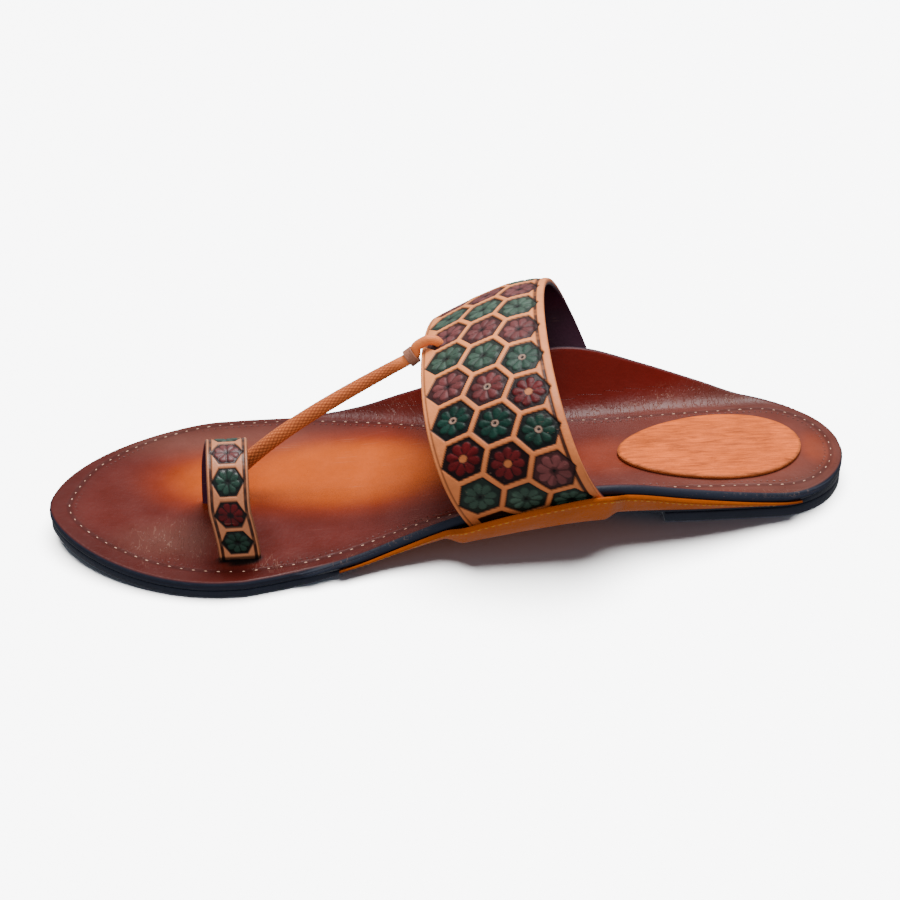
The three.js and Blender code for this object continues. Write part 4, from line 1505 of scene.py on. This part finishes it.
    def sleeve(self) -> bpy.types.Object:
        """The keeper: a short sleeve whose overlap runs slantwise round it."""
        bore = self.keeper_cord / 2 + self.last.gap
        half, outer, radius = self.keeper_length / 2, bore + self.keeper_wall, self.keeper_radius
        arc = np.radians(np.linspace(0, 90, 4))
        flank = np.linspace(-half + 0.6, half - 0.6, 9)
        up, out = radius * (1 - np.cos(arc)), radius * (1 - np.sin(arc))
        radii = np.concatenate([[bore], outer - out, 0 * flank + outer - 0.06, outer - up, [bore]])
        heights = np.concatenate([[-half], up - half, flank, half - out, [half]])
        angle = np.linspace(0, 2 * np.pi, self.keeper_sides, endpoint=False)[:, None]
        seam = np.mod(angle / (2 * np.pi) + heights / self.keeper_length * 0.35, 1.0)
        pinch = 0.18 * (1 - smooth(np.abs(seam - 0.62), 0.0, 0.025)) * (radii > bore + 0.05)
        side = unit(np.cross(self.axis, UP))
        spokes = self.spokes(angle, side, np.cross(self.axis, side))
        rings = self.keeper + (radii - pinch)[..., None] * spokes + heights[:, None] * self.axis
        return shell("cord_keeper_leather", rings, closed=True)

    def dress(self, made: dict[str, bpy.types.Object]) -> None:
        """Give the cord and its keeper their leather."""
        dress(made["cord"], self.finish, "toe_cord")
        dress(made["keeper"], self.keeper_finish, "cord_keeper")


@dataclass
class HeelPad(Piece):
    """Egg-shaped patch of natural leather on the heel, its narrow end forward."""

    last: Last
    thickness: float = 1.2
    edge: float = 0.45
    rounded: float = 1.6
    length: float = 62.4
    width: float = 37.8
    from_heel: float = 13.6
    offset: float = -9.8
    taper: float = 0.18
    turn: float = 3.0
    rows: int = 150
    across: int = 64
    finish: Finish = Finish(
        "heel_pad", Dye.PAD, Grain.SUEDED, roughness=0.6, mottle=0.36, mottle_size=8.0, streaks=1.7,
        specular=0.12, toned=True,
    )

    def build(self) -> bpy.types.Object:
        """Make the pad.

        Returns:
            The object.
        """
        angle = np.pi * (1 - np.clip(np.linspace(0, 1, self.rows), 0.01, 0.99))[:, None]
        x = self.from_heel + self.length / 2 * (1 + np.cos(angle))
        half = self.width / 2 * np.sin(angle) * (1 - self.taper * np.cos(angle))
        share = np.sin(np.linspace(-np.pi / 2, np.pi / 2, self.across))
        axis = self.offset + math.tan(math.radians(self.turn)) * (x - self.from_heel - self.length / 2)
        plan = np.stack(np.broadcast_arrays(x, axis + half * share), -1)
        rim = distances(plan, plan[:, [0, -1]].reshape(-1, 2))
        rise = np.clip(rim / self.rounded, 0, 1)
        high = self.edge + (self.thickness - self.edge) * np.sqrt(rise * (2 - rise))
        floor = self.last.footbed(plan[..., 0]) + self.last.gap
        top, bottom = (np.concatenate([plan, z[..., None]], -1) for z in (floor + high, floor))
        kept = np.arange(0, self.across, 3)[::-1]
        tone = blend(Dye.PAD.linear, Dye.NATURAL_DEEP.linear * 0.6, 0.8 * (1 - smooth(rim, 0.2, 1.1)))
        under = np.broadcast_to(Dye.NATURAL_DEEP.linear, bottom[:, kept].shape)
        tones = np.concatenate([tone, under], 1)
        rings = np.concatenate([top, bottom[:, kept]], 1)
        return shell("heel_pad_leather", rings, tones, dull=0.0 * tones[..., 0])


# Stitches


@dataclass
class Stitching:
    """A row of stitches that a node group lays along a line."""

    name: str
    finish: Finish
    pitch: float
    length: float
    thickness: float
    sunk: float
    seed: int = 7

    def group(self) -> bpy.types.GeometryNodeTree:
        """Build the node group that turns a line with an "up" direction into stitches.

        Returns:
            The group, whose inputs are sizes in metres, a seed and the thread's material.
        """
        tree = bpy.data.node_groups.new(f"{self.name} layer", "GeometryNodeTree")
        for label, kind in (
            ("Line", "Geometry"), ("Pitch", "Float"), ("Length", "Float"), ("Thickness", "Float"),
            ("Seed", "Int"), ("Thread", "Material"),
        ):
            tree.interface.new_socket(label, in_out="INPUT", socket_type=f"NodeSocket{kind}")
        tree.interface.new_socket("Stitches", in_out="OUTPUT", socket_type="NodeSocketGeometry")
        add = Nodes(tree).add
        given = add("NodeGroupInput").outputs
        curve = add("GeometryNodeMeshToCurve", {0: given["Line"]}).outputs[0]
        even = add("GeometryNodeResampleCurve", {"Curve": curve, "Length": given["Pitch"]}, mode="LENGTH")
        bead = add("GeometryNodeMeshUVSphere", {"Segments": 10, "Rings": 8, "Radius": 0.5}).outputs["Mesh"]
        size = {0: given["Length"], 1: given["Thickness"], 2: given["Thickness"]}
        size = add("ShaderNodeCombineXYZ", size).outputs[0]
        shaped = add("GeometryNodeTransform", {"Geometry": bead, "Scale": size}).outputs[0]
        up = add("GeometryNodeInputNamedAttribute", data_type="FLOAT_VECTOR")
        up.inputs["Name"].default_value = "up"
        tangent = add("GeometryNodeInputTangent").outputs[0]
        ahead = add("FunctionNodeAlignRotationToVector", {"Vector": tangent}, axis="X").outputs[0]
        turned = {"Rotation": ahead, "Vector": up.outputs[0]}
        turned = add("FunctionNodeAlignRotationToVector", turned, axis="Z", pivot_axis="X").outputs[0]
        vary = add("FunctionNodeRandomValue", {2: 0.8, 3: 1.12, "Seed": given["Seed"]}, data_type="FLOAT")
        laid = {"Points": even.outputs[0], "Instance": shaped, "Rotation": turned, "Scale": vary.outputs[1]}
        laid = add("GeometryNodeInstanceOnPoints", laid).outputs[0]
        real = add("GeometryNodeRealizeInstances", {0: laid}).outputs[0]
        threaded = add("GeometryNodeSetMaterial", {"Geometry": real, "Material": given["Thread"]}).outputs[0]
        add("NodeGroupOutput", {0: threaded})
        return tree

    def build(self, lines: Sequence[tuple[Array, Array]]) -> bpy.types.Object:
        """Lay stitches along lines.

        Args:
            lines: For each line, its points in millimetres and the upward direction at each.

        Returns:
            The stitches as one mesh object.
        """
        points, ups = (np.concatenate(part) for part in zip(*lines))
        # Every point is joined to the next, but for the last of each line
        last = np.cumsum([len(line) for line, _ in lines]) - 1
        edges = [(i, i + 1) for i in range(len(points)) if i not in last]
        mesh = bpy.data.meshes.new(f"{self.name} line")
        mesh.from_pydata(to_row(points - ups * self.sunk).tolist(), edges, [])
        mesh.attributes.new("up", "FLOAT_VECTOR", "POINT").data.foreach_set("vector", ups.ravel())
        piece = placed(self.name, mesh)
        modifier = piece.modifiers.new("stitches", "NODES")
        modifier.node_group = self.group()
        values = {
            "Pitch": self.pitch / 1000, "Length": self.length / 1000, "Thickness": self.thickness / 1000,
            "Seed": self.seed, "Thread": Leather(self.finish).build(),
        }
        for item in modifier.node_group.interface.items_tree:
            if item.in_out == "INPUT" and item.name in values:
                modifier[item.identifier] = values[item.name]
        graph = bpy.context.evaluated_depsgraph_get()
        laid = bpy.data.meshes.new_from_object(piece.evaluated_get(graph), depsgraph=graph)
        piece.modifiers.clear()
        piece.data = laid
        bpy.data.meshes.remove(mesh)
        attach(piece, "root")
        log.info("%s: %d faces", piece.name, len(laid.polygons))
        return piece


def footbed_lines(last: Last, seam: Seam) -> list[tuple[Array, Array]]:
    """The footbed's seam on the insole's upper face, all the way round."""
    path = np.concatenate([seam.path, seam.path[:1]])
    line = np.column_stack([path, last.footbed(path[:, 0])])
    return [(line, np.tile(UP, (len(line), 1)))]


def wrap_lines(last: Last, wrap: Wrap) -> list[tuple[Array, Array]]:
    """Lines a millimetre under the wrap's upper edge, outside each ear."""
    lines = []
    x = np.linspace(30, 166, 280)
    for side in Side:
        u = wrap.top(x, side) - 1.0 / last.ear_length(x)
        line, below = (wrap.face(x, side, at, last.wrap_wall(x)) for at in (u, u - 0.03))
        up = unit(np.cross(np.gradient(line, axis=0), line - below))
        up *= np.where(up[:, 1:2] * side.value < 0, -1, 1)
        lines.append((line, up))
    return lines


# Studio


@dataclass(frozen=True)
class Lamp:
    """One soft light.

    A near light is a square: size is its width in metres and power its watts. A far one lights all
    places alike: size is its width across the sky in degrees and power its watts for each square metre.
    """

    name: str
    place: tuple[float, float, float]
    aim: tuple[float, float, float]
    size: float
    power: float
    colour: tuple[float, float, float] = (1.0, 1.0, 1.0)
    mirrored: bool = True
    far: bool = False

    def hang(self) -> bpy.types.Object:
        """Hang the light.

        Returns:
            The light.
        """
        data = bpy.data.lights.new(self.name, "SUN" if self.far else "AREA")
        if self.far:
            data.angle = math.radians(self.size)
        else:
            data.shape, data.size = "SQUARE", self.size
        data.energy, data.color = self.power, self.colour
        lamp = placed(self.name, data)
        lamp.location = self.place
        lamp.visible_glossy = self.mirrored
        lamp.rotation_euler = (Vector(self.aim) - Vector(self.place)).to_track_quat("-Z", "Y").to_euler()
        return lamp


@dataclass
class Studio:
    """Pale floor, soft light from behind and above, and the photograph's camera."""

    target: tuple[float, float, float] = (-0.0003, -0.01093, 0.008)
    place: tuple[float, float, float] = (0.05597, 0.57344, 0.38925)
    lens: float = 83.4
    sensor: float = 36.0
    floor_size: float = 12.0
    # Just under the tread, so that the two don't touch
    floor_height: float = -0.0002
    # A mid, cool grey that the warm wash brings up to a neutral pale floor with a cool shadow
    floor_grey: tuple[float, float, float, float] = (0.33, 0.37, 0.45, 1.0)
    sky: tuple[float, float, float, float] = (0.95, 0.97, 1.0, 1.0)
    sky_strength: float = 0.5
    key: Lamp = Lamp("key", (-0.2, -0.42, 1.15), (0, 0, 0), 0.7, 32.0)
    fill: Lamp = Lamp("fill", (0.35, 1.0, 0.75), (0, 0, 0.02), 0.9, 10.0, (1.0, 0.97, 0.94), mirrored=False)
    wash: Lamp = Lamp("floor_wash", (-0.1, -0.28, 2.3), (0, 0, 0), 55.0, 69.0, (1.0, 0.892, 0.733), far=True)

    def floor(self) -> bpy.types.Object:
        """Lay the floor.

        Returns:
            The floor.
        """
        mesh = bpy.data.meshes.new("floor")
        half = self.floor_size / 2
        corners = [(x * half, y * half, 0) for x, y in ((-1, -1), (1, -1), (1, 1), (-1, 1))]
        mesh.from_pydata(corners, [], [(0, 1, 2, 3)])
        floor = placed("floor", mesh)
        floor.location.z = self.floor_height
        material = bpy.data.materials.new("floor")
        material.use_nodes = True
        shader = material.node_tree.nodes["Principled BSDF"]
        shader.inputs["Base Color"].default_value = self.floor_grey
        shader.inputs["Roughness"].default_value = 0.7
        mesh.materials.append(material)
        # Its glare neither lights the sandal nor shows in the polish
        floor.visible_diffuse = False
        floor.visible_glossy = False
        return floor

    def build(self) -> None:
        """Set up floor, lights, world and camera."""
        floor = self.floor()
        self.key.hang()
        # The wash lights the floor alone, and the fill lights all but the floor
        for lamp, state in ((self.wash, "INCLUDE"), (self.fill, "EXCLUDE")):
            lit = bpy.data.collections.new(f"{lamp.name} receivers")
            lit.objects.link(floor)
            lit.collection_objects[0].light_linking.link_state = state
            lamp.hang().light_linking.receiver_collection = lit
        world = bpy.data.worlds.new("studio")
        world.use_nodes = True
        background = world.node_tree.nodes["Background"]
        background.inputs["Color"].default_value = self.sky
        background.inputs["Strength"].default_value = self.sky_strength
        bpy.context.scene.world = world
        data = bpy.data.cameras.new("camera")
        data.lens, data.sensor_width = self.lens, self.sensor
        camera = placed("camera", data)
        camera.location = self.place
        camera.rotation_mode = "QUATERNION"
        camera.rotation_quaternion = (Vector(self.place) - Vector(self.target)).to_track_quat("Z", "Y")
        bpy.context.scene.camera = camera


def main() -> None:
    """Build, dress and light the sandal."""
    logging.basicConfig(level=logging.INFO, format="%(message)s")
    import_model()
    last = Last()
    seam = Seam(last)
    band, ring = Band(last), Ring(last)
    wrap = Wrap(last, band)
    pieces = (Sole(last), Insole(last, seam, ring), wrap, band, ring, Cord(last, band, ring), HeelPad(last))
    for piece in pieces:
        piece.dress(piece.build())
    pale = Finish("insole", Dye.THREAD, Grain.SUEDED, roughness=0.7, mottle=0.2, mottle_size=5.0)
    gold = Finish("waist_wrap", Dye.GOLD_THREAD, Grain.SUEDED, roughness=0.6, mottle=0.2, mottle_size=5.0)
    footbed = Stitching("footbed_stitches", pale, seam.pitch, length=1.15, thickness=0.45, sunk=0.1)
    footbed.build(footbed_lines(last, seam))
    edging = Stitching("wrap_stitches", gold, pitch=2.2, length=1.5, thickness=0.4, sunk=0.08)
    edging.build(wrap_lines(last, wrap))
    Studio().build()


if __name__ == "__main__":
    main()
